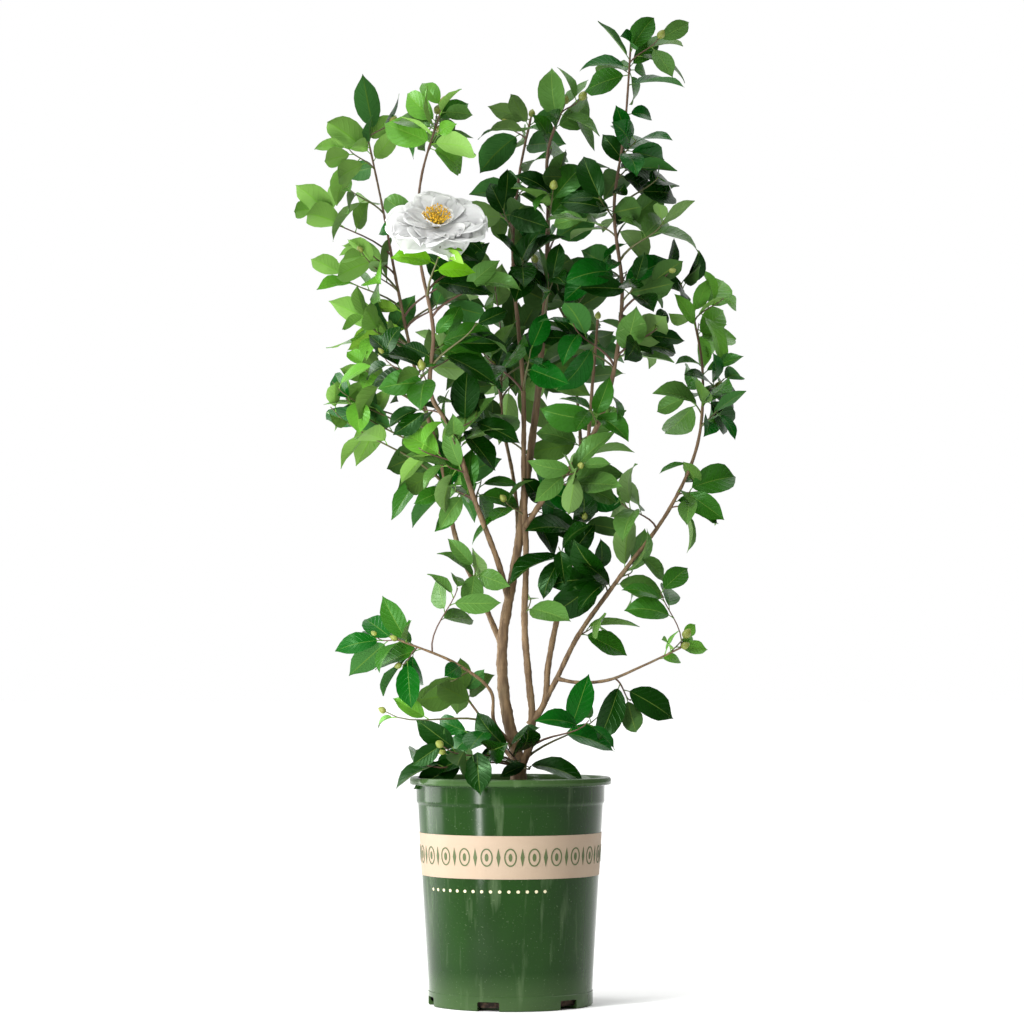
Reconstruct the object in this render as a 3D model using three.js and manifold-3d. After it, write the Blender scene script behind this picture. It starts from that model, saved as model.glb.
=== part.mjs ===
// A camellia shrub in its nursery pot: pot, potting mix, stems, boughs and foliage masses.
// Millimetres, +Z up. The origin is the centre of the pot's flat underside.
// Needs the npm packages three and manifold-3d.
import * as THREE from 'three';
import { mergeVertices } from 'three/addons/utils/BufferGeometryUtils.js';
import Module from 'manifold-3d';

const wasm = await Module();
wasm.setup();

// ---- Driving dimensions -------------------------------------------------------------------

const GAP = 0.3;                // clear space between two pieces that touch

const POT = {
  height: 304,
  footRadius: 110.5,            // outside, at the floor
  footBand: 19,                 // height of the plain band that carries the drain notches
  footStep: 0.9,                // the wall stands in by this much above the band
  waistHeight: 268,             // where the tapered wall ends
  waistRadius: 124.2,
  collarRadius: 126.4,          // the straight collar under the rim
  rimRadius: 135.7,
  rimDepth: 10,                 // height of the rolled rim
  wall: 3,
  floor: 4,
  sides: 36,
};

const NOTCH = { count: 6, width: 30, height: 12.5, reach: 22, firstAngle: -15.5 };

const SOIL = { top: 276, clearance: 0.9, sides: 24 };

const LIMB = { sides: 6, step: 50 };

const MASS = {
  fineFrom: 76,                 // a mass with a longer half size than this gets finer facets
  swell: 0.2,                   // how far the surface swells and dips
  parting: 1.2,                 // neighbouring masses stay about this far apart
};

// Each limb runs along a smooth route from its foot, inside the limb that bears it, to its tip.
// foot and tip are radii, and flare is the extra radius where the trunk meets the soil.
const LIMBS = [
  {
    name: 'trunk',
    foot: 9.4, tip: 1.6, flare: 8,
    route: [
      [12, 0, SOIL.top + GAP], [9, 0, 330], [-4, 0, 385], [-11, 2, 440], [-10, 3, 495],
      [0, 5, 555], [12, 6, 625], [20, 8, 690], [38, 8, 830], [47, 4, 950],
      [51, -4, 1060], [51, -14, 1150], [72, -28, 1210],
    ],
  },
  {
    name: 'stem_middle', from: 'trunk',
    foot: 5.4, tip: 1.5,
    route: [
      [10, -2, 334], [27, -14, 375], [26, -18, 415], [19, -19, 505], [21, -18, 600],
      [18, -12, 700], [17, -10, 830], [3, 12, 1020], [13, 36, 1130], [28, 46, 1205],
    ],
  },
  {
    name: 'stem_right', from: 'stem_middle',
    foot: 4.6, tip: 1.8,
    route: [
      [26, -14, 374], [46, -20, 405], [50, -22, 450], [68, -10, 540], [87, 6, 615],
      [100, 18, 700], [112, 30, 840], [119, 32, 925],
    ],
  },
  {
    name: 'stem_far_right', from: 'stem_right',
    foot: 3.6, tip: 1.5,
    route: [
      [47, -20, 408], [60, -26, 432], [91, -32, 494], [145, -40, 570], [211, -46, 660],
      [250, -46, 748], [258, -34, 850], [246, -18, 930],
    ],
  },
  {
    name: 'bough_right', from: 'stem_middle',
    foot: 3.8, tip: 1.3,
    route: [
      [20, -17, 640], [44, -26, 676], [87, -36, 727], [117, -44, 776], [136, -52, 836],
      [149, -70, 950], [138, -82, 1062], [152, -84, 1165], [161, -80, 1285],
    ],
  },
  {
    name: 'bough_front_left', from: 'trunk',
    foot: 4.2, tip: 1.3,
    route: [
      [-2, 4, 540], [-16, -12, 590], [-50, -38, 680], [-79, -58, 768], [-106, -66, 815],
      [-103, -72, 900], [-121, -82, 1000], [-120, -84, 1096], [-91, -78, 1200],
    ],
  },
  {
    name: 'bough_back_left', from: 'trunk',
    foot: 4, tip: 1.3,
    route: [
      [-11, 3, 478], [-37, 24, 540], [-72, 44, 618], [-96, 60, 732], [-128, 72, 846],
      [-158, 84, 985], [-175, 94, 1076], [-198, 104, 1185],
    ],
  },
  {
    name: 'bough_back', from: 'trunk',
    foot: 3.6, tip: 1.6,
    route: [[2, 5, 562], [10, 42, 630], [4, 90, 710], [-12, 125, 800], [-12, 150, 900]],
  },
  {
    name: 'bough_back_right', from: 'stem_right',
    foot: 3.2, tip: 1.6,
    route: [[83, 2, 600], [93, 44, 680], [96, 84, 770], [88, 112, 860], [78, 124, 930]],
  },
  {
    name: 'shoot_low_left', from: 'trunk',
    foot: 2.8, tip: 1.3,
    route: [[4, -4, 345], [-22, -22, 378], [-26, -25, 418], [-71, -42, 455], [-150, -56, 488]],
  },
  {
    name: 'shoot_low_right', from: 'stem_far_right',
    foot: 2.6, tip: 1.2,
    route: [[62, -27, 436], [88, -38, 431], [130, -52, 434], [176, -64, 453], [226, -76, 477]],
  },
  {
    name: 'shoot_low_back', from: 'trunk',
    foot: 2.8, tip: 1.3,
    route: [[8, 2, 320], [-22, 36, 358], [-50, 66, 396], [-72, 84, 425]],
  },
];

// Each mass of leaves sits on a limb at a height, set off to one side, with its half sizes.
const MASSES = [
  { name: 'leaves_right_tip', on: 'bough_right', height: 1264, off: [5, 0], half: [88, 62, 58] },
  { name: 'leaves_right_high', on: 'bough_right', height: 1147, off: [9, 2], half: [78, 64, 52] },
  { name: 'leaves_right_mid', on: 'bough_right', height: 1052, off: [24, 4], half: [96, 72, 39] },
  { name: 'leaves_right_low', on: 'bough_right', height: 970, off: [29, 6], half: [90, 60, 35] },
  { name: 'leaves_right_inner', on: 'bough_right', height: 888, off: [43, -4], half: [50, 48, 38] },

  { name: 'leaves_far_high', on: 'stem_far_right', height: 928, off: [16, 4], half: [50, 60, 54] },
  { name: 'leaves_far_mid', on: 'stem_far_right', height: 810, off: [5, -4], half: [49, 62, 62] },
  { name: 'leaves_far_low', on: 'stem_far_right', height: 684, off: [31, 0], half: [66, 50, 48] },
  { name: 'leaves_far_inner', on: 'stem_far_right', height: 562, off: [33, -4], half: [48, 42, 50] },

  { name: 'leaves_top_middle', on: 'trunk', height: 1209, off: [14, 0], half: [47, 54, 66] },
  { name: 'leaves_top_left', on: 'stem_middle', height: 1188, off: [-22, 2], half: [48, 56, 50] },
  { name: 'leaves_upper_front', on: 'trunk', height: 1085, off: [-8, -40], half: [80, 42, 56] },
  { name: 'leaves_upper_back', on: 'stem_middle', height: 1080, off: [24, 46], half: [74, 52, 58] },

  { name: 'leaves_mid_front_left', on: 'stem_middle', height: 982, off: [-58, -66], half: [54, 56, 42] },
  { name: 'leaves_mid_front_right', on: 'trunk', height: 982, off: [-10, -72], half: [42, 60, 44] },
  { name: 'leaves_mid_back_left', on: 'stem_middle', height: 978, off: [-66, 90], half: [56, 60, 50] },
  { name: 'leaves_mid_back_right', on: 'trunk', height: 985, off: [24, 98], half: [70, 62, 48] },

  { name: 'leaves_core_front_left', on: 'stem_middle', height: 886, off: [-66, -70], half: [58, 60, 44] },
  { name: 'leaves_core_front_right', on: 'trunk', height: 886, off: [18, -86], half: [56, 64, 44] },
  { name: 'leaves_core_back_left', on: 'stem_middle', height: 876, off: [-76, 92], half: [58, 62, 46] },
  { name: 'leaves_core_back_right', on: 'trunk', height: 880, off: [32, 98], half: [70, 66, 50] },
  { name: 'leaves_far_back', on: 'bough_back', height: 898, off: [12, 40], half: [76, 46, 74] },

  { name: 'leaves_low_front_right', on: 'bough_right', height: 792, off: [-8, -22], half: [62, 50, 46] },
  { name: 'leaves_low_front', on: 'bough_right', height: 700, off: [36, -34], half: [58, 46, 42] },
  { name: 'leaves_low_back_right', on: 'bough_back_right', height: 765, off: [8, 0], half: [60, 54, 54] },
  { name: 'leaves_hanging', on: 'stem_right', height: 588, off: [20, -46], half: [52, 38, 62] },

  { name: 'leaves_left_front', on: 'bough_front_left', height: 715, off: [-36, 0], half: [50, 40, 62] },
  { name: 'leaves_left_back', on: 'bough_back_left', height: 715, off: [-14, 14], half: [50, 46, 58] },
  { name: 'leaves_left_low', on: 'bough_front_left', height: 566, off: [-56, -14], half: [50, 42, 52] },

  { name: 'leaves_crest_back_left', on: 'bough_back_left', height: 1183, off: [-3, 0], half: [50, 50, 66] },
  { name: 'leaves_crest_front_left', on: 'bough_front_left', height: 1185, off: [-4, 0], half: [46, 50, 60] },
  { name: 'leaves_side_upper', on: 'bough_back_left', height: 1098, off: [-56, 0], half: [56, 52, 46] },
  { name: 'leaves_side_mid', on: 'bough_back_left', height: 1004, off: [-66, -6], half: [56, 52, 44] },
  { name: 'leaves_flower', on: 'bough_front_left', height: 1034, off: [24, -8], half: [60, 46, 46] },
  { name: 'leaves_side_low', on: 'bough_back_left', height: 920, off: [-34, -10], half: [52, 50, 40] },
  { name: 'leaves_side_out', on: 'bough_back_left', height: 826, off: [-99, -34], half: [48, 45, 58] },
  { name: 'leaves_side_front', on: 'bough_front_left', height: 852, off: [-36, 4], half: [46, 44, 38] },

  { name: 'leaves_shoot_left', on: 'shoot_low_left', height: 485, off: [-30, 4], half: [56, 44, 54] },
  { name: 'leaves_shoot_base', on: 'shoot_low_left', height: 428, off: [-40, -18], half: [50, 42, 42] },
  { name: 'leaves_rim', on: 'shoot_low_left', height: 347, off: [-58, -62], half: [74, 58, 32] },
  { name: 'leaves_rim_front', on: 'shoot_low_left', height: 325, off: [-96, -156], half: [44, 14, 41] },
  { name: 'leaves_shoot_right', on: 'shoot_low_right', height: 446, off: [-12, -8], half: [82, 52, 46],
    drop: 57 },
  { name: 'leaves_shoot_right_tip', on: 'shoot_low_right', height: 476, off: [4, 0], half: [26, 22, 16],
    drop: -12 },
  { name: 'leaves_low_back', on: 'shoot_low_back', height: 420, off: [-6, 6], half: [52, 46, 42] },
  { name: 'leaves_low_back_side', on: 'shoot_low_back', height: 380, off: [164, 0], half: [52, 42, 38] },
];

const COLOURS = {
  pot: 0x2f5a2b,
  soil: 0x4a3626,
  bark: 0x9a7a55,
  leaves: [0x1f5a24, 0x2f7a2e, 0x3f8f36, 0x276b3a],
};

// ---- Solids -------------------------------------------------------------------------------

// A closed geometry as a solid, with its faces turned outwards.
function solidOf(geometry) {
  const plain = geometry.clone();
  plain.deleteAttribute('normal');
  plain.deleteAttribute('uv');
  const merged = mergeVertices(plain, 1e-3);
  const index = merged.index.array;
  const triangles = [];
  for (let i = 0; i < index.length; i += 3) {
    const [a, b, c] = [index[i], index[i + 1], index[i + 2]];
    if (a !== b && b !== c && c !== a) triangles.push(a, b, c);
  }
  const points = merged.attributes.position.array;
  if (signedVolume(points, triangles) < 0) triangles.reverse();
  return new wasm.Manifold(new wasm.Mesh({
    numProp: 3,
    vertProperties: Float32Array.from(points),
    triVerts: Uint32Array.from(triangles),
  }));
}

function signedVolume(points, triangles) {
  const corner = (i) => new THREE.Vector3().fromArray(points, 3 * i);
  let volume = 0;
  for (let i = 0; i < triangles.length; i += 3) {
    const [a, b, c] = triangles.slice(i, i + 3).map(corner);
    volume += a.dot(b.cross(c)) / 6;
  }
  return volume;
}

// The largest piece of a solid, which drops the crumbs that a cut can leave.
function largest(solid) {
  const pieces = solid.decompose();
  return pieces.reduce((best, piece) => (piece.volume() > best.volume() ? piece : best));
}

function meshOf(name, solid, colour, roughness) {
  const { vertProperties, triVerts } = solid.getMesh();
  const geometry = new THREE.BufferGeometry();
  geometry.setAttribute('position', new THREE.BufferAttribute(vertProperties, 3));
  geometry.setIndex(new THREE.BufferAttribute(triVerts, 1));
  geometry.computeVertexNormals();
  const material = new THREE.MeshStandardMaterial({ color: colour, roughness, metalness: 0 });
  const mesh = new THREE.Mesh(geometry, material);
  mesh.name = name;
  return mesh;
}

// A profile of [radius, height] corners turned about the Z axis.
function turned(profile, sides) {
  const points = profile.map(([radius, height]) => new THREE.Vector2(radius, height));
  return solidOf(new THREE.LatheGeometry(points, sides).rotateX(Math.PI / 2));
}

// ---- Pot and potting mix ------------------------------------------------------------------

function insideRadius(height) {
  const slope = (POT.waistRadius - POT.footRadius) / (POT.waistHeight - POT.footBand);
  return POT.footRadius - POT.wall + slope * (height - POT.footBand);
}

function buildPot() {
  const above = POT.footRadius - POT.footStep;
  const underRim = POT.height - POT.rimDepth;
  const profile = [
    [0, 0], [POT.footRadius - 1, 0], [POT.footRadius, 1.5], [POT.footRadius, POT.footBand],
    [above, POT.footBand + 1], [POT.waistRadius, POT.waistHeight],
    [POT.collarRadius, POT.waistHeight + 4], [POT.collarRadius + 0.4, underRim],
    [POT.rimRadius - 1.5, underRim], [POT.rimRadius, underRim + 2.5],
    [POT.rimRadius - 0.6, POT.height - 2], [POT.rimRadius - 3, POT.height],
    [POT.collarRadius - 1, POT.height], [POT.collarRadius - POT.wall, POT.height - 4],
    [POT.collarRadius - POT.wall, POT.waistHeight + 4],
    [insideRadius(POT.waistHeight), POT.waistHeight],
    [insideRadius(POT.floor), POT.floor], [0, POT.floor],
  ];
  let pot = turned(profile, POT.sides);
  for (let i = 0; i < NOTCH.count; i += 1) {
    const angle = THREE.MathUtils.degToRad(NOTCH.firstAngle - 90 + (i * 360) / NOTCH.count);
    const cutter = new THREE.BoxGeometry(2 * NOTCH.reach, NOTCH.width, 2 * NOTCH.height);
    cutter.translate(POT.footRadius, 0, 0).rotateZ(angle);
    pot = pot.subtract(solidOf(cutter));
  }
  return pot;
}

function buildSoil() {
  const bottom = POT.floor + GAP;
  const fit = (height) => insideRadius(height) - SOIL.clearance;
  return turned([
    [0, bottom], [fit(bottom), bottom], [fit(POT.waistHeight - 4), POT.waistHeight - 4],
    [fit(POT.waistHeight - 4) - 3, SOIL.top], [0, SOIL.top],
  ], SOIL.sides);
}

// ---- Limbs --------------------------------------------------------------------------------

function limbCurve(limb) {
  const stations = limb.route.map((place) => new THREE.Vector3(...place));
  return new THREE.CatmullRomCurve3(stations, false, 'centripetal');
}

// The radius runs evenly from foot to tip, and the flare dies away above the soil.
function limbRadius(limb, along, length) {
  const taper = THREE.MathUtils.lerp(limb.foot, limb.tip, along);
  const flare = (limb.flare ?? 0) * Math.exp((-along * length) / 30);
  return taper + flare;
}

// A cylinder bent along the limb's route, grown by a margin where it is to cut a neighbour.
function limbSolid(limb, grow = 0) {
  const curve = limbCurve(limb);
  const length = curve.getLength();
  const steps = Math.ceil(length / LIMB.step) + (limb.flare ? 2 : 0);
  const frames = curve.computeFrenetFrames(steps, false);
  const geometry = new THREE.CylinderGeometry(1, 1, 1, LIMB.sides, steps);
  const position = geometry.attributes.position;
  for (let i = 0; i < position.count; i += 1) {
    const ring = Math.round((position.getY(i) + 0.5) * steps);
    const along = ring / steps;
    const radius = limbRadius(limb, along, length) + grow;
    const place = curve.getPointAt(along);
    if (ring === 0) place.z -= grow ? 2 * grow : 0;
    const flat = ring === 0 && limb.flare;
    const side = flat ? new THREE.Vector3(1, 0, 0) : frames.normals[ring];
    const other = flat ? new THREE.Vector3(0, 1, 0) : frames.binormals[ring];
    place.addScaledVector(side, position.getX(i) * radius);
    place.addScaledVector(other, -position.getZ(i) * radius);
    position.setXYZ(i, place.x, place.y, place.z);
  }
  return solidOf(geometry);
}

// The point of a limb at a height above the floor.
function limbAt(limb, height) {
  const points = limbCurve(limb).getSpacedPoints(200);
  return points.reduce((best, point) => (
    Math.abs(point.z - height) < Math.abs(best.z - height) ? point : best));
}

// ---- Foliage masses -----------------------------------------------------------------------

// A ball whose reach swells and dips in waves of its own, stretched to the stated half sizes.
function massSolid(mass, seed, centre, grow = 0) {
  const detail = Math.max(...mass.half) > MASS.fineFrom ? 2 : 1;
  const geometry = new THREE.IcosahedronGeometry(1, detail);
  const position = geometry.attributes.position;
  const point = new THREE.Vector3();
  for (let i = 0; i < position.count; i += 1) {
    point.fromBufferAttribute(position, i);
    const wave = Math.sin(2.3 * point.x + 1.7 * seed)
      + Math.sin(3.1 * point.y + 2.9 * seed + 1)
      + Math.sin(2.7 * point.z + 4.1 * seed + 2);
    point.multiplyScalar(1 + (MASS.swell * wave) / 2);
    position.setXYZ(i, point.x, point.y, point.z);
  }
  geometry.computeBoundingBox();
  const middle = geometry.boundingBox.getCenter(new THREE.Vector3());
  const size = geometry.boundingBox.getSize(new THREE.Vector3());
  geometry.translate(-middle.x, -middle.y, -middle.z);
  const [halfX, halfY, halfZ] = mass.half.map((half) => half + grow);
  geometry.scale((2 * halfX) / size.x, (2 * halfY) / size.y, (2 * halfZ) / size.z);
  geometry.translate(centre.x, centre.y, centre.z);
  return solidOf(geometry);
}

// ---- The shrub ----------------------------------------------------------------------------

const shrub = new THREE.Group();
const limbNamed = new Map(LIMBS.map((limb) => [limb.name, limb]));

const pot = buildPot();
shrub.add(meshOf('pot', pot, COLOURS.pot, 0.45));
shrub.add(meshOf('potting_mix', buildSoil(), COLOURS.soil, 0.95));

const limbCutters = [];
for (const limb of LIMBS) {
  let solid = limbSolid(limb);
  for (const cutter of limbCutters) solid = solid.subtract(cutter);
  shrub.add(meshOf(limb.name, largest(solid), COLOURS.bark, 0.8));
  limbCutters.push(limbSolid(limb, GAP));
}

const massCutters = [];
MASSES.forEach((mass, order) => {
  const centre = limbAt(limbNamed.get(mass.on), mass.height);
  centre.x += mass.off[0];
  centre.y += mass.off[1];
  centre.z -= mass.drop ?? 0;
  let solid = massSolid(mass, order, centre);
  const reach = massSolid(mass, order, centre, MASS.parting);
  for (const cutter of [...massCutters, ...limbCutters]) {
    if (!solid.intersect(cutter).isEmpty()) solid = solid.subtract(cutter);
  }
  const colour = COLOURS.leaves[order % COLOURS.leaves.length];
  shrub.add(meshOf(mass.name, largest(solid), colour, 0.6));
  massCutters.push(reach);
});

export default shrub;
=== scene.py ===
"""The looks of a camellia shrub in its nursery pot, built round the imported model."""

from __future__ import annotations

import logging
import math
from dataclasses import dataclass, field
from enum import Enum

import bpy
import numpy as np
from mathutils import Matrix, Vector


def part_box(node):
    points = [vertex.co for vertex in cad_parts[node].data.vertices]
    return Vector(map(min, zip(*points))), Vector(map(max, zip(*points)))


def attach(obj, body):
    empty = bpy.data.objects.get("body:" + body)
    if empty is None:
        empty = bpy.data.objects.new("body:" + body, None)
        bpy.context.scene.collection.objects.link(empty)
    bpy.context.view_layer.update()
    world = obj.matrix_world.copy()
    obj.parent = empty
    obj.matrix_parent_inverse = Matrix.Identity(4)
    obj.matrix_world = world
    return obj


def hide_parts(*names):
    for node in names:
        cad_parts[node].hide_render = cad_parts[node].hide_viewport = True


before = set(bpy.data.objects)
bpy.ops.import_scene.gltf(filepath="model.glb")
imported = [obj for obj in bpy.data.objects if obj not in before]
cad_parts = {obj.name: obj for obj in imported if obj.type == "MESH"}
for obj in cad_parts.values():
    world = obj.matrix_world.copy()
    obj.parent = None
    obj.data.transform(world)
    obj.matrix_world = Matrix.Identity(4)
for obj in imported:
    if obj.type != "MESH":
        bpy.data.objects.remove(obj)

LOG = logging.getLogger("camellia")
SEED = 41
CHIP_SEED, BLOOM_SEED, TIP_SEED, BLADE_SEED = SEED + 3, SEED + 7, SEED + 500, SEED + 1000
BODY = "root"
UP = np.array([0.0, 0.0, 1.0])
GOLDEN_ANGLE = math.radians(137.5)
NOISE_RANGE = (0.3, 0.7)
Colour = tuple[float, float, float]
Point = tuple[float, float, float]
Pair = tuple[float, float]
Array = np.ndarray
Chances = np.random.Generator
Piece = bpy.types.Object
Socket = bpy.types.NodeSocket


def srgb(red: int, green: int, blue: int) -> Colour:
    """Turn a colour as it is seen on a screen into the linear colour a shader takes.

    Args:
        red: red, from 0 to 255.
        green: green, from 0 to 255.
        blue: blue, from 0 to 255.

    Returns:
        The linear red, green and blue, from 0 to 1.
    """
    return tuple(((c / 255 + 0.055) / 1.055) ** 2.4 if c > 10 else c / 3295 for c in (red, green, blue))


# ---- Finishes -----------------------------------------------------------------------------


class Nodes:
    """A material's or a world's node tree, with short ways to add and join nodes."""

    def __init__(self, owner: bpy.types.Material | bpy.types.World) -> None:
        """Open the tree of a new material or world, which holds its shader and its output.

        Args:
            owner: the material or the world.
        """
        owner.use_nodes = True
        self.owner = owner
        self.tree = owner.node_tree
        self.shader = self.tree.nodes.get("Principled BSDF") or self.tree.nodes["Background"]
        self.coordinates = self.tree.nodes.new("ShaderNodeTexCoord")

    def add(self, kind: str, **values: object) -> bpy.types.Node:
        """Add a node.

        Args:
            kind: the node's type, without its ShaderNode prefix.
            values: settings of the node, or numbers and links for its inputs, by name.

        Returns:
            The new node.
        """
        node = self.tree.nodes.new("ShaderNode" + kind)
        for name, value in values.items():
            if hasattr(node, name):
                setattr(node, name, value)
            else:
                self.feed(node.inputs[name.replace("_", " ")], value)
        return node

    def feed(self, socket: Socket, value: object) -> None:
        """Link an output to a socket, or set the socket's own value.

        Args:
            socket: the input to feed.
            value: the output or the value.
        """
        if isinstance(value, Socket):
            self.tree.links.new(value, socket)
        else:
            socket.default_value = value

    def fill(self, node: bpy.types.Node, *values: object) -> bpy.types.Node:
        """Feed a node's inputs in order.

        Args:
            node: the node.
            values: an output or a value for each of its first inputs.

        Returns:
            The node.
        """
        for socket, value in zip(node.inputs, values):
            self.feed(socket, value)
        return node

    def result(self, operation: str, *values: object) -> Socket:
        """The result of an operation on numbers or links."""
        return self.fill(self.add("Math", operation=operation), *values).outputs[0]

    def place(self, axis: str, source: str = "Object") -> Socket:
        """A point's coordinate along an axis."""
        return self.add("SeparateXYZ", Vector=self.coordinates.outputs[source]).outputs[axis]

    def noise(self, scale: float, detail: float = 4.0, stretch: Point = (1, 1, 1),
              source: str = "Object") -> Socket:
        """A noise pattern's strength.

        Args:
            scale: how fine the pattern is.
            detail: how many finer layers lie on it.
            stretch: how much finer it is along each axis.
            source: the coordinates that it reads.

        Returns:
            The strength, mostly inside NOISE_RANGE.
        """
        mapping = self.add("Mapping", Scale=stretch, Vector=self.coordinates.outputs[source])
        node = self.add("TexNoise", Scale=scale, Detail=detail, Vector=mapping.outputs["Vector"])
        return node.outputs["Fac"]

    def ramp(self, source: Socket, low: float, high: float,
             first: Colour, second: Colour) -> Socket:
        """A colour that goes from first to second as source goes from low to high.

        Args:
            source: the value that chooses.
            low: where the first colour ends.
            high: where the second colour starts.
            first: the first colour.
            second: the second colour.

        Returns:
            A link to the colour.
        """
        node = self.add("ValToRGB", Fac=source)
        for element, position, colour in zip(node.color_ramp.elements, (low, high), (first, second)):
            element.position, element.color = position, (*colour, 1)
        return node.outputs["Color"]

    def mix(self, share: Socket | float, first: object, second: object) -> Socket:
        """Two colours mixed by a share.

        Args:
            share: how much of the second there is.
            first: a colour, or a link to one.
            second: a colour, or a link to one.

        Returns:
            A link to the mixed colour.
        """
        node = self.add("Mix", data_type="RGBA")
        self.feed(node.inputs[0], share)
        for socket, colour in ((node.inputs[6], first), (node.inputs[7], second)):
            self.feed(socket, colour if isinstance(colour, Socket) else (*colour, 1))
        return node.outputs[2]

    def spread(self, source: Socket, low: float, high: float,
               to_low: float, to_high: float) -> Socket:
        """A value mapped from one range to another, and held inside it."""
        node = self.add("MapRange", Value=source, From_Min=low, From_Max=high, To_Min=to_low, To_Max=to_high)
        return node.outputs["Result"]

    def uneven(self, pattern: Socket, least: float, most: float) -> Socket:
        """A value that a noise pattern moves between two ends."""
        return self.spread(pattern, *NOISE_RANGE, least, most)

    def relief(self, height: Socket, depth: float, strength: float = 0.5) -> None:
        """Give the shader a bump of a height, in metres."""
        bump = self.add("Bump", Height=height, Distance=depth, Strength=strength)
        self.feed(self.shader.inputs["Normal"], bump.outputs["Normal"])

    def surface(self, **values: object) -> None:
        """Set the shader's own inputs by name."""
        for name, value in values.items():
            self.feed(self.shader.inputs[name.replace("_", " ")], value)


class Finish:
    """The look of a surface. Each kind of finish dresses a material's nodes in its own way."""

    name: str

    def make(self) -> bpy.types.Material:
        """Make the material.

        Returns:
            The material.
        """
        nodes = Nodes(bpy.data.materials.new(self.name))
        self.dress(nodes)
        return nodes.owner

    def dress(self, nodes: Nodes) -> None:
        """Set a material's shader."""
        raise NotImplementedError


@dataclass(frozen=True)
class PlasticFinish(Finish):
    """Moulded pot plastic: satin, with dried drips down the wall, paler round the foot from dust and painted
    floor-bounce light, and paler over the rim.
    """

    name: str = "pot_green"
    clean: Colour = srgb(23, 60, 6)
    deep: Colour = srgb(16, 46, 4)
    # The paler tone is laid round the foot as dust with painted floor-bounce light, and over the rim as a
    # paler band.
    paler_tone: Colour = srgb(82, 108, 66)
    drip: Colour = srgb(120, 140, 104)
    dust_and_bounce_below: float = 0.05
    foot_dust_and_bounce: float = 0.55
    pale_rim_above: float = 0.2935
    pale_rim_run: float = 0.004
    rim_paling: float = 0.45
    drips: float = 0.3
    specks: float = 0.45
    roughness: float = 0.13
    specular: float = 0.18
    drip_relief: float = 0.00004

    def dress(self, nodes: Nodes) -> None:
        """Mottle the plastic, run drips down it, pale its foot with dust and painted floor-bounce light, and
        pale its rim.

        Args:
            nodes: the material's nodes.
        """
        mottle = nodes.noise(9.0, 6.0, (1, 1, 0.6))
        streak = nodes.noise(70.0, 6.0, (1, 1, 0.14))
        speck = nodes.noise(420.0, 3.0)
        height = nodes.place("Z")
        # Paler towards the foot: dust with painted floor-bounce light.
        low = nodes.spread(height, 0.0, self.dust_and_bounce_below, self.foot_dust_and_bounce, 0.0)
        # A paler band over the rim.
        high = nodes.spread(height, self.pale_rim_above, self.pale_rim_above + self.pale_rim_run, 0.0, self.rim_paling)
        body = nodes.ramp(mottle, 0.35, 0.7, self.deep, self.clean)
        dripped = nodes.mix(nodes.spread(streak, 0.57, 0.76, 0.0, self.drips), body, self.drip)
        colour = nodes.mix(high, nodes.mix(low, dripped, self.paler_tone), self.paler_tone)
        specked = nodes.spread(speck, 0.66, 0.76, 0.0, self.specks)
        nodes.surface(
            Base_Color=nodes.mix(specked, colour, self.drip),
            Roughness=nodes.uneven(mottle, self.roughness, self.roughness + 0.1),
            Specular_IOR_Level=self.specular,
        )
        nodes.relief(streak, self.drip_relief)


@dataclass(frozen=True)
class PaperFinish(Finish):
    """Coated paper with a faint fibre and a few scuffs."""

    name: str
    colour: Colour
    shade: Colour
    roughness: float = 0.55
    scuffs: float = 0.7
    fibre_relief: float = 0.0001

    def dress(self, nodes: Nodes) -> None:
        """Cloud the paper's colour and raise its fibre.

        Args:
            nodes: the material's nodes.
        """
        fibre = nodes.noise(260.0, 6.0, (1, 1, 0.4))
        scuffed = nodes.uneven(nodes.noise(14.0, 3.0), 0.0, self.scuffs)
        nodes.surface(
            Base_Color=nodes.mix(scuffed, self.colour, self.shade),
            Roughness=nodes.uneven(fibre, self.roughness, self.roughness + 0.12),
        )
        nodes.relief(fibre, self.fibre_relief)


@dataclass(frozen=True)
class BarkFinish(Finish):
    """Smooth shrub bark: tan low down, redder and darker up the stem, with fine cracks."""

    name: str = "bark"
    tan: Colour = srgb(122, 98, 67)
    shade: Colour = srgb(86, 66, 44)
    young: Colour = srgb(92, 70, 54)
    lichen: Colour = srgb(102, 98, 76)
    young_from: float = 0.62
    young_to: float = 1.05
    youth: float = 0.85
    moss: float = 0.55
    flecks: float = 0.6
    crack_relief: float = 0.0006

    def dress(self, nodes: Nodes) -> None:
        """Grain the bark, age it by its height, and add lichen and flecks.

        Args:
            nodes: the material's nodes.
        """
        grain = nodes.noise(210.0, 8.0, (1, 1, 0.16))
        patch = nodes.noise(38.0, 4.0, (1, 1, 0.5))
        fleck = nodes.noise(150.0, 3.0)
        height = nodes.spread(nodes.place("Z"), self.young_from, self.young_to, 0.0, self.youth)
        aged = nodes.mix(height, nodes.ramp(grain, 0.36, 0.62, self.shade, self.tan), self.young)
        mossy = nodes.mix(nodes.spread(patch, 0.56, 0.75, 0.0, self.moss), aged, self.lichen)
        nodes.surface(
            Base_Color=nodes.mix(nodes.spread(fleck, 0.64, 0.72, 0.0, self.flecks), mossy, self.shade),
            Roughness=nodes.uneven(grain, 0.86, 0.62),
        )
        nodes.relief(grain, self.crack_relief, 0.8)


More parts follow.
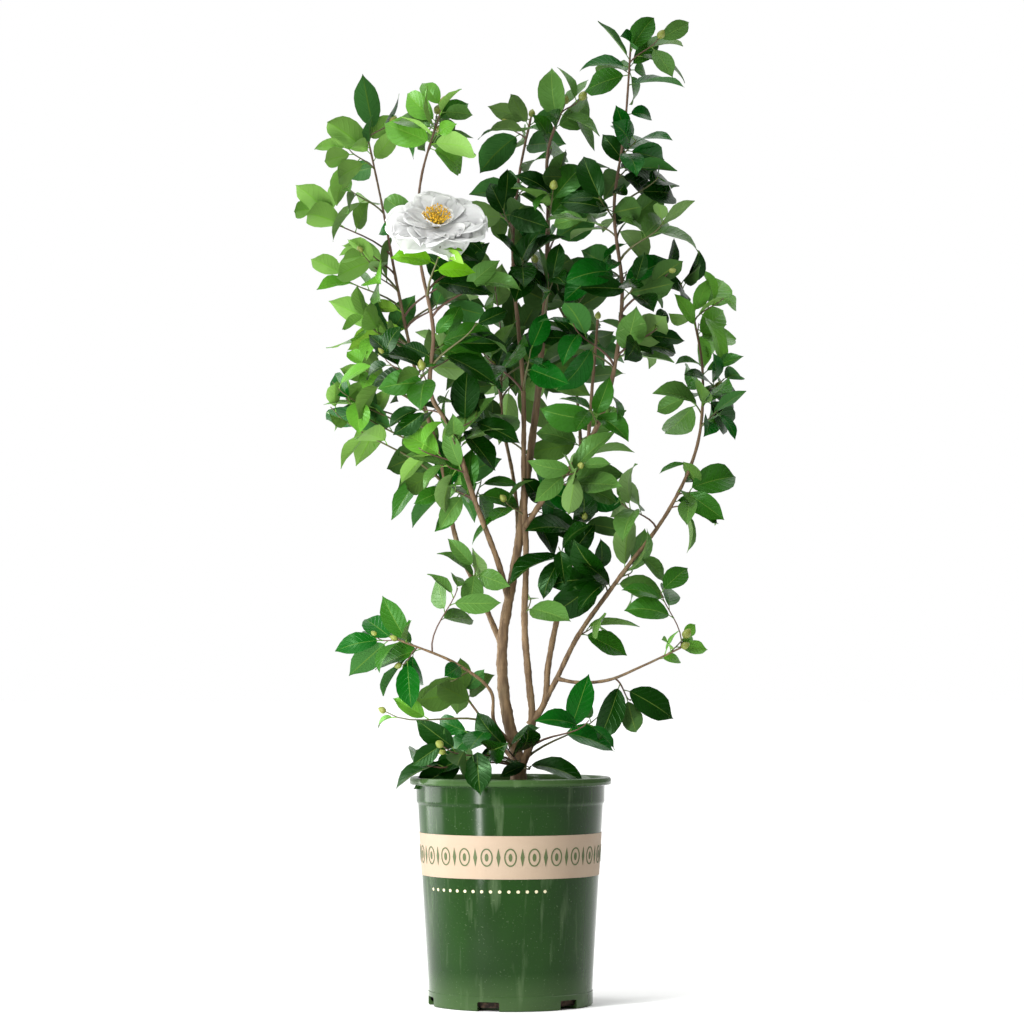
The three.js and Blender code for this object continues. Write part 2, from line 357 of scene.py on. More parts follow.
@dataclass(frozen=True)
class PlainBarkFinish(Finish):
    """A twig's skin in one colour, with a fine relief."""

    name: str
    colour: Colour
    roughness: float = 0.6
    grain_relief: float = 0.0002

    def dress(self, nodes: Nodes) -> None:
        """Set the colour and raise the grain.

        Args:
            nodes: the material's nodes.
        """
        grain = nodes.noise(500.0, 4.0, (1, 1, 0.3))
        nodes.surface(
            Base_Color=(*self.colour, 1),
            Roughness=nodes.uneven(grain, self.roughness - 0.08, self.roughness + 0.12),
        )
        nodes.relief(grain, self.grain_relief)


@dataclass(frozen=True)
class LeafFinish(Finish):
    """One side of a leaf in one colour, with side veins in relief and an uneven gloss."""

    name: str
    colour: Colour
    roughness: float
    vein_depth: float = 0.00028
    veins: float = 8.0
    vein_slant: float = -0.5
    specular: float = 0.23
    gleam: Colour = (0.5, 1.0, 0.45)

    def dress(self, nodes: Nodes) -> None:
        """Set the colour and gloss, and raise the veins that slant from the midrib to the margin.

        Args:
            nodes: the material's nodes.
        """
        off_rib = nodes.result("ABSOLUTE", nodes.result("SUBTRACT", nodes.place("X", "UV"), 0.5))
        slant = nodes.result("MULTIPLY_ADD", off_rib, self.vein_slant, nodes.place("Y", "UV"))
        wave = nodes.result("SINE", nodes.result("MULTIPLY", slant, math.tau * self.veins))
        cloud = nodes.noise(60.0)
        nodes.surface(
            Base_Color=(*self.colour, 1),
            Roughness=nodes.uneven(cloud, self.roughness - 0.06, self.roughness + 0.12),
            Specular_IOR_Level=self.specular,
            Specular_Tint=(*self.gleam, 1),
        )
        quilt = nodes.result("ADD", nodes.spread(wave, 0.55, 1.0, 0.0, 1.0), cloud)
        nodes.relief(quilt, self.vein_depth, 0.7)


@dataclass(frozen=True)
class SoilFinish(Finish):
    """Moist composted bark, dark with a few pale bits."""

    name: str = "potting_mix"
    wet: Colour = srgb(34, 24, 18)
    dry: Colour = srgb(84, 64, 48)
    roughness: float = 0.95
    clod_relief: float = 0.003

    def dress(self, nodes: Nodes) -> None:
        """Colour and raise the clods.

        Args:
            nodes: the material's nodes.
        """
        clod = nodes.noise(160.0, 8.0)
        nodes.surface(Base_Color=nodes.ramp(clod, 0.42, 0.72, self.wet, self.dry), Roughness=self.roughness)
        nodes.relief(clod, self.clod_relief, 1.0)


@dataclass(frozen=True)
class PetalFinish(Finish):
    """A petal's soft, slightly translucent skin with fine lengthwise veins."""

    name: str = "petal"
    colour: Colour = srgb(232, 233, 231)
    roughness: float = 0.6
    sheen: float = 0.1
    glow: float = 0.5
    glow_depth: Point = (0.01, 0.01, 0.0095)
    vein_relief: float = 0.0008

    def dress(self, nodes: Nodes) -> None:
        """Set the skin, let light into it, and raise its veins.

        Args:
            nodes: the material's nodes.
        """
        vein = nodes.noise(26.0, 5.0, (4, 0.35, 1), "UV")
        nodes.surface(
            Base_Color=(*self.colour, 1),
            Roughness=nodes.uneven(vein, self.roughness - 0.05, self.roughness + 0.1),
            Sheen_Weight=self.sheen,
            Subsurface_Weight=self.glow,
            Subsurface_Radius=self.glow_depth,
            Subsurface_Scale=1.0,
        )
        nodes.relief(vein, self.vein_relief)


@dataclass(frozen=True)
class FloorFinish(Finish):
    """A plain pale studio floor with the faintest grain."""

    name: str = "studio_floor"
    colour: Colour = (0.93, 0.93, 0.925)
    specular: float = 0.2

    def dress(self, nodes: Nodes) -> None:
        """Set the colour and a slightly uneven gloss.

        Args:
            nodes: the material's nodes.
        """
        nodes.surface(
            Base_Color=(*self.colour, 1),
            Roughness=nodes.uneven(nodes.noise(3.0, 2.0), 0.7, 0.85),
            Specular_IOR_Level=self.specular,
        )


class Tint(Enum):
    """The leaf tints, dealt out by spray: the colours of the upper side and the underside."""

    DEEP = (srgb(10, 46, 3), srgb(52, 82, 34))
    COOL = (srgb(8, 78, 12), srgb(52, 100, 42))
    MID = (srgb(42, 92, 20), srgb(80, 116, 48))
    WARM = (srgb(76, 116, 50), srgb(100, 132, 70))
    FRESH = (srgb(92, 150, 46), srgb(116, 158, 72))
    LIME = (srgb(96, 156, 20), srgb(126, 172, 58))

    @property
    def piece(self) -> str:
        """The name of the piece that holds this tint's leaves."""
        return "leaves_" + self.name.lower()

    @property
    def rib(self) -> Colour:
        """The colour of the stalk and midrib, a little paler than the upper side."""
        return tuple(0.8 * leaf + 0.2 * pale for leaf, pale in zip(self.value[0], srgb(160, 190, 84)))


# ---- Modelling help -----------------------------------------------------------------------


class Bench:
    """Short ways to model with Blender's operators."""

    @staticmethod
    def clear() -> None:
        """Leave edit mode and select nothing."""
        if bpy.context.object and bpy.context.object.mode != "OBJECT":
            bpy.ops.object.mode_set(mode="OBJECT")
        bpy.ops.object.select_all(action="DESELECT")

    @staticmethod
    def pick(obj: Piece) -> None:
        """Make an object the only selected one, and the active one.

        Args:
            obj: the object.
        """
        Bench.clear()
        obj.select_set(True)
        bpy.context.view_layer.objects.active = obj

    @staticmethod
    def open(obj: Piece) -> None:
        """Open an object in edit mode with all of it selected.

        Args:
            obj: the object.
        """
        Bench.pick(obj)
        bpy.ops.object.mode_set(mode="EDIT")
        bpy.ops.mesh.select_all(action="SELECT")

    @staticmethod
    def set_out(name: str, data: bpy.types.ID) -> Piece:
        """Put a mesh, a curve, a lamp or a camera in the scene.

        Args:
            name: the new object's name.
            data: the mesh, curve, lamp or camera.

        Returns:
            The new object.
        """
        made = bpy.data.objects.new(name, data)
        bpy.context.scene.collection.objects.link(made)
        return made

    @staticmethod
    def ring(name: str, sides: int, radius: float, height: float) -> Piece:
        """Add a circle at a height on the Z axis, open in edit mode with all of it selected.

        Args:
            name: the new object's name.
            sides: how many sides it has.
            radius: its radius.
            height: its height.

        Returns:
            The new object.
        """
        Bench.clear()
        bpy.ops.mesh.primitive_circle_add(vertices=sides, radius=radius, location=(0, 0, height))
        made = bpy.context.object
        made.name = name
        bpy.ops.object.transform_apply(location=True, rotation=True, scale=True)
        Bench.open(made)
        return made

    @staticmethod
    def rise(profile: list[Pair], radius: float, height: float) -> None:
        """Extrude the selected ring through a profile.

        Args:
            profile: each next ring's radius and height.
            radius: the selected ring's radius.
            height: the selected ring's height.
        """
        for next_radius, next_height in profile:
            bpy.ops.mesh.extrude_region_move(
                TRANSFORM_OT_translate={"value": (0, 0, next_height - height)})
            ratio = next_radius / radius
            bpy.ops.transform.resize(value=(ratio, ratio, 1), center_override=(0, 0, next_height))
            radius, height = next_radius, next_height

    @staticmethod
    def turned(name: str, profile: list[Pair], sides: int) -> Piece:
        """Model a closed turned body by extruding a ring through a profile and filling both ends.

        Args:
            name: the new object's name.
            profile: the radius and height of each ring, from the first end to the last.
            sides: how many sides the rings have.

        Returns:
            The new object, in object mode.
        """
        made = Bench.ring(name, sides, *profile[0])
        bpy.ops.mesh.edge_face_add()
        bpy.ops.mesh.select_all(action="DESELECT")
        bpy.ops.mesh.select_mode(type="EDGE")
        bpy.ops.mesh.select_non_manifold(extend=False)
        Bench.rise(profile[1:], *profile[0])
        bpy.ops.mesh.edge_face_add()
        bpy.ops.mesh.select_all(action="SELECT")
        bpy.ops.mesh.normals_make_consistent(inside=False)
        bpy.ops.object.mode_set(mode="OBJECT")
        return made

    @staticmethod
    def modify(obj: Piece, kind: str, **settings: object) -> None:
        """Add a modifier to an object and apply it.

        Args:
            obj: the object.
            kind: the modifier's type.
            settings: its settings, by name.
        """
        Bench.pick(obj)
        modifier = obj.modifiers.new(kind.lower(), kind)
        for name, value in settings.items():
            setattr(modifier, name, value)
        bpy.ops.object.modifier_apply(modifier=modifier.name)

    @staticmethod
    def smooth(obj: Piece, degrees: float) -> None:
        """Shade an object smooth across edges flatter than an angle."""
        Bench.pick(obj)
        bpy.ops.object.shade_smooth_by_angle(angle=math.radians(degrees))

    @staticmethod
    def join(parts: list[Piece], name: str) -> Piece:
        """Join objects into one, under a name.

        Args:
            parts: the objects.
            name: the joined object's name.

        Returns:
            The joined object, at the origin.
        """
        Bench.clear()
        for part in parts:
            part.select_set(True)
        bpy.context.view_layer.objects.active = parts[0]
        bpy.ops.object.join()
        parts[0].name = name
        bpy.ops.object.transform_apply(location=True, rotation=True, scale=True)
        return parts[0]

    @staticmethod
    def clouds(size: float) -> bpy.types.Texture:
        """A cloud texture for a Displace modifier, its blobs about a size across.

        Args:
            size: how wide its blobs are.

        Returns:
            The texture.
        """
        texture = bpy.data.textures.new("clouds", "CLOUDS")
        texture.noise_scale = size
        texture.noise_depth = 3
        return texture

    @staticmethod
    def finish(obj: Piece, slot: str, *nodes: str) -> None:
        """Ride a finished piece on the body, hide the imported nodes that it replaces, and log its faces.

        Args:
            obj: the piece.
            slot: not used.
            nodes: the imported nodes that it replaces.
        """
        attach(obj, BODY)
        if nodes:
            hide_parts(*nodes)
        LOG.info("%s: %d faces", obj.name, len(obj.data.polygons))


@dataclass
class Batch:
    """Many small shapes gathered as arrays, to be joined in one mesh."""

    points: list[Array] = field(default_factory=list)
    faces: list[Array] = field(default_factory=list)
    slots: list[Array] = field(default_factory=list)
    places: list[Array] = field(default_factory=list)
    count: int = 0

    def add(self, points: Array, faces: Array, slots: Array | int = 0,
            places: Array | float = 0.0) -> None:
        """Add one shape.

        Args:
            points: the shape's corners.
            faces: four corner numbers for each face.
            slots: each face's material slot, or one for them all.
            places: each corner's place on the shape, for the UV map, or one for them all.
        """
        self.points.append(points)
        self.faces.append(faces + self.count)
        self.slots.append(np.broadcast_to(slots, len(faces)))
        self.places.append(np.broadcast_to(places, (len(points), 2)))
        self.count += len(points)

    def build(self, name: str, finishes: list[Finish]) -> Piece:
        """Join the shapes in one smooth mesh.

        Args:
            name: the piece's name.
            finishes: the looks of its material slots.

        Returns:
            The new object.
        """
        points, faces = np.concatenate(self.points), np.concatenate(self.faces)
        mesh = bpy.data.meshes.new(name)
        mesh.from_pydata(points.tolist(), [], faces.tolist())
        mesh.polygons.foreach_set("material_index", np.concatenate(self.slots).astype(np.int32))
        mesh.polygons.foreach_set("use_smooth", np.ones(len(faces), bool))
        layer = mesh.uv_layers.new(name="shape")
        corners = np.zeros(len(mesh.loops), np.int32)
        mesh.loops.foreach_get("vertex_index", corners)
        layer.data.foreach_set("uv", np.concatenate(self.places)[corners].astype(np.float32).ravel())
        for finish in finishes:
            mesh.materials.append(finish.make())
        mesh.validate()
        return Bench.set_out(name, mesh)


def grid_faces(rows: int, columns: int, around: bool = False) -> Array:
    """Number the faces of a grid of corners.

    Args:
        rows: how many rows of corners there are.
        columns: how many corners a row has.
        around: True if each row closes on itself.

    Returns:
        Four corner numbers for each face.
    """
    across = columns if around else columns - 1
    row, column = np.meshgrid(np.arange(rows - 1), np.arange(across), indexing="ij")
    first = row * columns + column
    second = row * columns + (column + 1) % columns
    return np.stack([first, second, second + columns, first + columns], -1).reshape(-1, 4)


def unit(vector: Array) -> Array:
    """A vector, or each row of vectors, at length 1."""
    return vector / np.maximum(np.linalg.norm(vector, axis=-1, keepdims=True), 1e-9)


def square_to(heading: Array, guide: Array) -> tuple[Array, Array]:
    """Two directions square to a heading and to each other, the first square to a guide as well."""
    side = unit(np.cross(heading, guide))
    return side, np.cross(heading, side)


def turned_to(angle: float, first: Array, second: Array) -> Array:
    """The direction at an angle from a first direction towards a second."""
    return math.cos(angle) * first + math.sin(angle) * second


def grid_places(rows: Array, columns: Array) -> Array:
    """Each corner's place across and along a grid, for the UV map."""
    return np.stack(np.meshgrid(columns, rows), -1).reshape(-1, 2)


def tube(line: Array, radii: Array, sides: int) -> tuple[Array, Array]:
    """Shape a tube round a line, drawn in to a point at both ends.

    Args:
        line: the points that it follows.
        radii: its radius at each point.
        sides: how many sides it has.

    Returns:
        Its corners and its faces.
    """
    along = unit(np.gradient(line, axis=0))
    side, other = square_to(along, UP if abs(along[0] @ UP) < 0.9 else np.array([1.0, 0.0, 0.0]))
    turn = np.linspace(0, math.tau, sides, endpoint=False)
    ring = np.cos(turn)[None, :, None] * side[:, None] + np.sin(turn)[None, :, None] * other[:, None]
    corners = line[:, None] + ring * radii[:, None, None]
    first, last = np.repeat(line[:1], sides, 0), np.repeat(line[-1:], sides, 0)
    corners = np.concatenate([first[None], corners, last[None]])
    return corners.reshape(-1, 3), grid_faces(len(line) + 2, sides, True)[:, ::-1]


# ---- Limbs --------------------------------------------------------------------------------


@dataclass
class Limb:
    """One stem or bough: a tapering round limb along a smooth route, radii in metres."""

    name: str
    foot: float
    tip: float
    route: tuple[Point, ...]
    flare: float = 0.0
    flare_run: float = 0.03
    spacing: float = 0.004
    knee: float = 0.05
    knee_every: float = 0.034
    ripple: float = 0.04
    ripple_every: float = 0.011
    collar: float = 0.35
    collar_run: float = 0.009
    rough: float = 0.16
    lumps: Pair = (0.012, 0.0035)

    def __post_init__(self) -> None:
        """Sample the route at an even spacing."""
        rough = self.through(np.array(self.route))
        steps = np.linalg.norm(np.diff(rough, axis=0), axis=1)
        walked = np.concatenate([[0.0], np.cumsum(steps)])
        self.length = float(walked[-1])
        even = np.linspace(0, self.length, max(int(self.length / self.spacing), 12))
        self.line = np.stack([np.interp(even, walked, rough[:, k]) for k in range(3)], -1)
        self.along = unit(np.gradient(self.line, axis=0))
        share = even / self.length
        self.radii = self.foot + (self.tip - self.foot) * share + self.flare * np.exp(-even / self.flare_run)

    @staticmethod
    def through(stations: Array, pieces: int = 24) -> Array:
        """A centripetal curve through stations, as a close row of points.

        Args:
            stations: the points that it passes.
            pieces: how many steps it takes between two of them.

        Returns:
            The points.
        """
        ends = (2 * stations[:1] - stations[1:2], 2 * stations[-1:] - stations[-2:-1])
        points = np.concatenate([ends[0], stations, ends[1]])
        rows = []
        for i in range(len(stations) - 1):
            a, b, c, d = points[i:i + 4]
            gaps = [max(np.linalg.norm(q - p) ** 0.5, 1e-4) for p, q in ((a, b), (b, c), (c, d))]
            start = (b - a) / gaps[0] - (c - a) / (gaps[0] + gaps[1]) + (c - b) / gaps[1]
            end = (c - b) / gaps[1] - (d - b) / (gaps[1] + gaps[2]) + (d - c) / gaps[2]
            start, end = start * gaps[1], end * gaps[1]
            t = np.linspace(0, 1, pieces, endpoint=False)[:, None]
            rows.append(
                (2 * t**3 - 3 * t**2 + 1) * b + (t**3 - 2 * t**2 + t) * start
                + (3 * t**2 - 2 * t**3) * c + (t**3 - t**2) * end)
        return np.concatenate([*rows, stations[-1:]])

    def build(self, finish: bpy.types.Material, rng: Chances) -> None:
        """Model the limb as a round curve, make it a mesh, and raise the bark's relief on it.

        Args:
            finish: the bark.
            rng: the source of its small swellings.
        """
        curve = bpy.data.curves.new(self.name + "_bark", "CURVE")
        curve.dimensions = "3D"
        curve.bevel_depth = 1.0
        curve.bevel_resolution = 6
        curve.use_fill_caps = True
        spline = curve.splines.new("POLY")
        spline.points.add(len(self.line) - 1)
        walked = np.arange(len(self.line)) * self.length / len(self.line)
        swell = self.knee * np.sin(math.tau * walked / self.knee_every + rng.uniform(0, 6))
        swell += self.ripple * np.sin(math.tau * walked / self.ripple_every + rng.uniform(0, 6))
        collar = self.collar * np.exp(-walked / self.collar_run) if not self.flare else 0.0
        spline.points.foreach_set("co", np.c_[self.line, np.ones(len(self.line))].ravel())
        spline.points.foreach_set("radius", self.radii * (1 + swell + collar))
        Bench.pick(Bench.set_out(curve.name, curve))
        bpy.ops.object.convert(target="MESH")
        made = bpy.context.object
        Bench.open(made)
        bpy.ops.mesh.remove_doubles(threshold=0.00005)
        bpy.ops.mesh.normals_make_consistent(inside=False)
        bpy.ops.object.mode_set(mode="OBJECT")
        for order, size in enumerate(self.lumps, 1):
            Bench.modify(made, "DISPLACE", texture=Bench.clouds(size), mid_level=0.5,
                         strength=self.rough * self.foot / order)
        Bench.smooth(made, 70)
        made.data.materials.clear()
        made.data.materials.append(finish)
        Bench.finish(made, "bark", self.name)


LIMBS = (
    Limb("trunk", 0.0087, 0.0016, (
        (0.012, 0, 0.2763), (0.009, 0, 0.33), (-0.004, 0, 0.385), (-0.011, 0.002, 0.44),
        (-0.01, 0.003, 0.495), (0, 0.005, 0.555), (0.012, 0.006, 0.625), (0.02, 0.008, 0.69),
        (0.038, 0.008, 0.83), (0.047, 0.004, 0.95), (0.051, -0.004, 1.06),
        (0.051, -0.014, 1.15), (0.072, -0.028, 1.21)), flare=0.008),
    Limb("stem_middle", 0.0054, 0.0015, (
        (0.012, -0.002, 0.312), (0.026, -0.01, 0.347), (0.029, -0.016, 0.388), (0.025, -0.018, 0.43),
        (0.019, -0.019, 0.505), (0.021, -0.018, 0.6), (0.018, -0.012, 0.7), (0.017, -0.01, 0.83),
        (0.003, 0.012, 1.02), (0.013, 0.036, 1.13), (0.028, 0.046, 1.205))),
    Limb("stem_right", 0.0046, 0.0018, (
        (0.026, -0.014, 0.374), (0.046, -0.02, 0.405), (0.05, -0.022, 0.45), (0.068, -0.01, 0.54),
        (0.087, 0.006, 0.615), (0.1, 0.018, 0.7), (0.112, 0.03, 0.84), (0.119, 0.032, 0.925))),
    Limb("stem_far_right", 0.0036, 0.0015, (
        (0.047, -0.02, 0.408), (0.06, -0.026, 0.432), (0.091, -0.032, 0.494),
        (0.145, -0.04, 0.57), (0.211, -0.046, 0.66), (0.25, -0.046, 0.748),
        (0.258, -0.034, 0.85), (0.246, -0.018, 0.93))),
    Limb("bough_right", 0.0038, 0.0013, (
        (0.02, -0.017, 0.64), (0.044, -0.026, 0.676), (0.087, -0.036, 0.727),
        (0.117, -0.044, 0.776), (0.136, -0.052, 0.836), (0.149, -0.07, 0.95),
        (0.138, -0.082, 1.062), (0.152, -0.084, 1.165), (0.161, -0.08, 1.285))),
    Limb("bough_front_left", 0.0042, 0.0013, (
        (-0.002, 0.004, 0.54), (-0.016, -0.012, 0.59), (-0.05, -0.038, 0.68),
        (-0.079, -0.058, 0.768), (-0.106, -0.066, 0.815), (-0.103, -0.072, 0.9),
        (-0.121, -0.082, 1.0), (-0.12, -0.084, 1.096), (-0.091, -0.078, 1.2))),
    Limb("bough_back_left", 0.004, 0.0013, (
        (-0.011, 0.003, 0.478), (-0.037, 0.024, 0.54), (-0.072, 0.044, 0.618),
        (-0.096, 0.06, 0.732), (-0.128, 0.072, 0.846), (-0.158, 0.084, 0.985),
        (-0.175, 0.094, 1.076), (-0.198, 0.104, 1.185))),
    Limb("bough_back", 0.0036, 0.0016, (
        (0.002, 0.005, 0.562), (0.01, 0.042, 0.63), (0.004, 0.09, 0.71),
        (-0.012, 0.125, 0.8), (-0.012, 0.15, 0.9))),
    Limb("bough_back_right", 0.0032, 0.0016, (
        (0.083, 0.002, 0.6), (0.093, 0.044, 0.68), (0.096, 0.084, 0.77),
        (0.088, 0.112, 0.86), (0.078, 0.124, 0.93))),
    Limb("shoot_low_left", 0.0028, 0.0013, (
        (0.004, -0.004, 0.345), (-0.022, -0.022, 0.378), (-0.026, -0.025, 0.418),
        (-0.071, -0.042, 0.455), (-0.15, -0.056, 0.488))),
    Limb("shoot_low_right", 0.0026, 0.0012, (
        (0.062, -0.027, 0.436), (0.088, -0.038, 0.431), (0.13, -0.052, 0.434),
        (0.176, -0.064, 0.453), (0.226, -0.076, 0.477))),
    Limb("shoot_low_back", 0.0028, 0.0013, (
        (0.008, 0.002, 0.32), (-0.022, 0.036, 0.358), (-0.05, 0.066, 0.396),
        (-0.072, 0.084, 0.425))),
)


# ---- Bloom --------------------------------------------------------------------------------


@dataclass
class Bloom:
    """The open flower: four whorls of ruffled petals round a tuft of stamens."""

    centre: Array = field(default_factory=lambda: np.array([-0.098, -0.118, 1.03]))
    facing: Array = field(default_factory=lambda: unit(np.array([0.05, -0.7, 0.71])))
    whorls: tuple[tuple[int, float, float], ...] = (
        (7, 0.064, 0.0), (7, 0.057, 0.1), (6, 0.045, 0.22), (5, 0.024, 0.75))
    whorl_step: float = 0.002
    petal_foot: float = 0.004
    rows: int = 14
    columns: int = 15
    claw: float = 0.13
    breadth: float = 0.40
    notch: float = 0.09
    ruffle: float = 0.08
    cup: float = 0.14
    lift: float = 0.42
    fall: float = 0.8
    petal_thickness: float = 0.0005
    stamens: int = 90
    tuft_foot: float = 0.004
    tuft_spread: float = 0.015
    head: float = 0.0012
    room: float = 0.058

    def crowding(self, *points: Array) -> float:
        """How far points reach into the room that the flower needs."""
        middle = self.centre + 0.02 * self.facing
        return sum(max(1 - float(np.linalg.norm(point - middle)) / self.room, 0) for point in points)

    def petal(self, length: float, rise: float, rng: Chances) -> Array:
        """Shape one petal along +Y, rising from the flower's base, its inner face up.

        Args:
            length: from base to tip.
            rise: how far it stands up, in radians.
            rng: the source of its ruffles.

        Returns:
            Its corners, row by row.
        """
        t, s = np.meshgrid(np.linspace(0, 1, self.rows), np.linspace(-1, 1, self.columns), indexing="ij")
        wide = length * (self.claw + self.breadth * np.sin(math.pi * t**0.9 * 0.72) ** 0.9)
        wide *= np.sqrt(np.clip(1.06 - t**7, 0, 1))
        notch = self.notch * length * t**6 * (1 - np.abs(s)) ** 2
        broad_waves = 0.7 * np.sin(5.2 * s + rng.uniform(0, 6))
        fine_waves = 0.6 * np.sin(10 * s + 5 * t + rng.uniform(0, 6))
        ruffle = self.ruffle * length * t**2 * (broad_waves + fine_waves)
        cup = self.cup * length * s**2 * np.sin(math.pi * t * 0.8)
        bend = rise + self.lift * t - self.fall * t**3
        walk = length / (self.rows - 1)
        y = np.cumsum(np.cos(bend), 0) * walk - walk * np.cos(rise) - notch
        z = np.cumsum(np.sin(bend), 0) * walk - walk * np.sin(rise) + ruffle + cup
        return np.stack([s * wide, y, z], -1)

    def build(self) -> None:
        """Model the petals and the stamens, each kind a piece of its own."""
        rng = np.random.default_rng(BLOOM_SEED)
        side, other = square_to(self.facing, UP)
        petals, faces = Batch(), grid_faces(self.rows, self.columns)
        places = grid_places(np.linspace(0, 1, self.rows), np.linspace(0, 1, self.columns))
        for number, (count, length, rise) in enumerate(self.whorls):
            for k in range(count):
                turn = math.tau * (k + 0.5 * number) / count + rng.normal(0, 0.1)
                local = self.petal(length * rng.uniform(0.92, 1.08), rise + rng.normal(0, 0.07), rng)
                out = turned_to(turn, side, other)
                corners = local.reshape(-1, 3) @ np.stack([np.cross(out, self.facing), out, self.facing])
                foot = self.centre + self.petal_foot * out + self.facing * self.whorl_step * number
                petals.add(corners + foot, faces, places=places)
        made = petals.build("petals", [PetalFinish()])
        Bench.modify(made, "SOLIDIFY", thickness=self.petal_thickness, offset=0.0)
        Bench.modify(made, "SUBSURF", levels=1, render_levels=1)
        Bench.finish(made, "petal")
        self.build_stamens(side, other, rng)

    def build_stamens(self, side: Array, other: Array, rng: Chances) -> None:
        """Model the tuft of yellow stamens with their orange heads.

        Args:
            side: a direction across the flower.
            other: the direction across it that is square to side.
            rng: the source of their lengths.
        """
        batch = Batch()
        for k in range(self.stamens):
            spread = math.sqrt((k + 0.5) / self.stamens)
            out = turned_to(k * GOLDEN_ANGLE, side, other)
            foot = self.centre + out * self.tuft_foot * spread + self.facing * self.tuft_foot
            tip = foot + self.facing * rng.uniform(0.017, 0.024) + out * self.tuft_spread * spread
            middle = (foot + tip) / 2 + self.facing * 0.002
            batch.add(*tube(np.stack([foot, middle, tip]), np.array([0.0005, 0.0004, 0.0004]), 4))
            head = np.stack([tip - self.facing * self.head, tip, tip + self.facing * self.head])
            batch.add(*tube(head, np.array([0.0008, 0.0013, 0.0008]), 5), 1)
        made = batch.build("stamens", [
            PlainBarkFinish("stamen_yellow", srgb(228, 204, 96), 0.5),
            PlainBarkFinish("stamen_head", srgb(220, 172, 28))])
        Bench.finish(made, "petal")


# ---- Foliage ------------------------------------------------------------------------------


@dataclass(frozen=True)
class LeafShape:
    """The blade of a leaf: its rows and columns of corners, and its outline."""

    rows: tuple[float, ...] = (0.0, 0.05, 0.15, 0.29, 0.44, 0.59, 0.72, 0.83, 0.91, 0.96, 1.0)
    above: tuple[float, ...] = (-1.0, -0.55, -0.028, 0.028, 0.55, 1.0)
    below: tuple[float, ...] = (-1.0, -0.05, 0.05, 1.0)
    shared: tuple[int, ...] = (0, 2, 3, 5)
    half_width: float = 0.272
    least_width: float = 0.008
    drip_tip: float = 0.6
    drip_tip_from: float = 0.74
    drip_tip_run: float = 0.22
    waves: float = 2.1
    thickness: float = 0.0003
    rib_height: float = 0.0005
    stalk_radii: tuple[float, float, float] = (0.0011, 0.0008, 0.0007)
    stalk_sides: int = 3

    def outline(self) -> Array:
        """Each row's half width, for a blade of length 1: oval, drawn out to a drip tip.

        Returns:
            A half width for each row.
        """
        t = np.array(self.rows)
        oval = np.sin(math.pi * t**0.92) ** 0.74
        into_tip = np.clip((t - self.drip_tip_from) / self.drip_tip_run, 0, 1)
        return self.half_width * np.maximum(oval * (1 - self.drip_tip * into_tip**1.4), self.least_width)

    def blade(self, length: float, width: float, fold: float, curl: float, twist: float,
              wave: float, phase: float) -> Array:
        """Shape one blade along +Y with its upper side towards +Z.

        Args:
            length: from base to tip.
            width: the width, as a multiple of the usual one.
            fold: how far each half folds up along the midrib, in radians.
            curl: how far the tip bends down, in radians.
            twist: how far the tip turns about the midrib, in radians.
            wave: the height of the margin's waves, as a share of the length.
            phase: where the waves start, in radians.

        Returns:
            The corners of the upper side and then of the underside, row by row.
        """
        rows = np.array(self.rows)
        bend = curl * rows**1.6
        step = np.diff(rows, prepend=0.0) * length
        run, fall = np.cumsum(step * np.cos(bend)), np.cumsum(step * np.sin(bend))
        sheets = []
        for columns, side in ((self.above, 1.0), (self.below, -1.0)):
            t, s = np.meshgrid(rows, np.array(columns), indexing="ij")
            reach = self.outline()[:, None] * length * width
            across, lift = s * reach * math.cos(fold), np.abs(s) * reach * math.sin(fold)
            lift = lift + wave * length * np.abs(s) * np.sin(math.tau * self.waves * t + phase * np.sign(s))
            turn = twist * t
            across, lift = (across * np.cos(turn) - lift * np.sin(turn),
                            across * np.sin(turn) + lift * np.cos(turn))
            y = run[:, None] + lift * np.sin(bend)[:, None]
            z = -fall[:, None] + lift * np.cos(bend)[:, None]
            z = z + side * self.thickness * (1 - s**2) * np.sin(math.pi * np.clip(t, 0.02, 0.98)) ** 0.5
            rib = self.rib_height * (1 - t) * (0.4 if side > 0 else 1.0)
            sheets.append(np.stack([across, y, z - np.where(np.abs(s) < 0.1, rib, 0)], -1).reshape(-1, 3))
        return np.concatenate(sheets)

    def faces(self) -> tuple[Array, Array]:
        """The faces of both sides, which share their margin, and each face's slot.

        Returns:
            Four corner numbers for each face, and the slots.
        """
        rows, wide, narrow = len(self.rows), len(self.above), len(self.below)
        upper = grid_faces(rows, wide)
        mate = np.arange(rows)[:, None] * wide + np.array(self.shared)
        below = np.arange(rows * narrow).reshape(rows, narrow) + rows * wide
        below[:, 0], below[:, -1] = mate[:, 0], mate[:, -1]
        below[0], below[-1] = mate[0], mate[-1]
        under = below.ravel()[grid_faces(rows, narrow)][:, [0, 3, 2, 1]]
        slots = [np.tile(np.where(np.arange(n - 1) == n // 2 - 1, 2, slot), rows - 1)
                 for n, slot in ((wide, 0), (narrow, 1))]
        return np.concatenate([upper, under]), np.concatenate(slots)

    def places(self) -> Array:
        """Each corner's place across and along the blade, for the UV map."""
        return np.concatenate([grid_places(np.array(self.rows), (np.array(columns) + 1) / 2)
                               for columns in (self.above, self.below)])


@dataclass
class Leaf:
    """One leaf where it grows: its foot on the twig, its stalk, and which way its blade lies."""

    foot: Array
    base: Array
    along: Array
    normal: Array
    length: float
    tint: Tint

    @property
    def tip(self) -> Array:
        """About where the blade ends."""
        return self.base + self.along * self.length


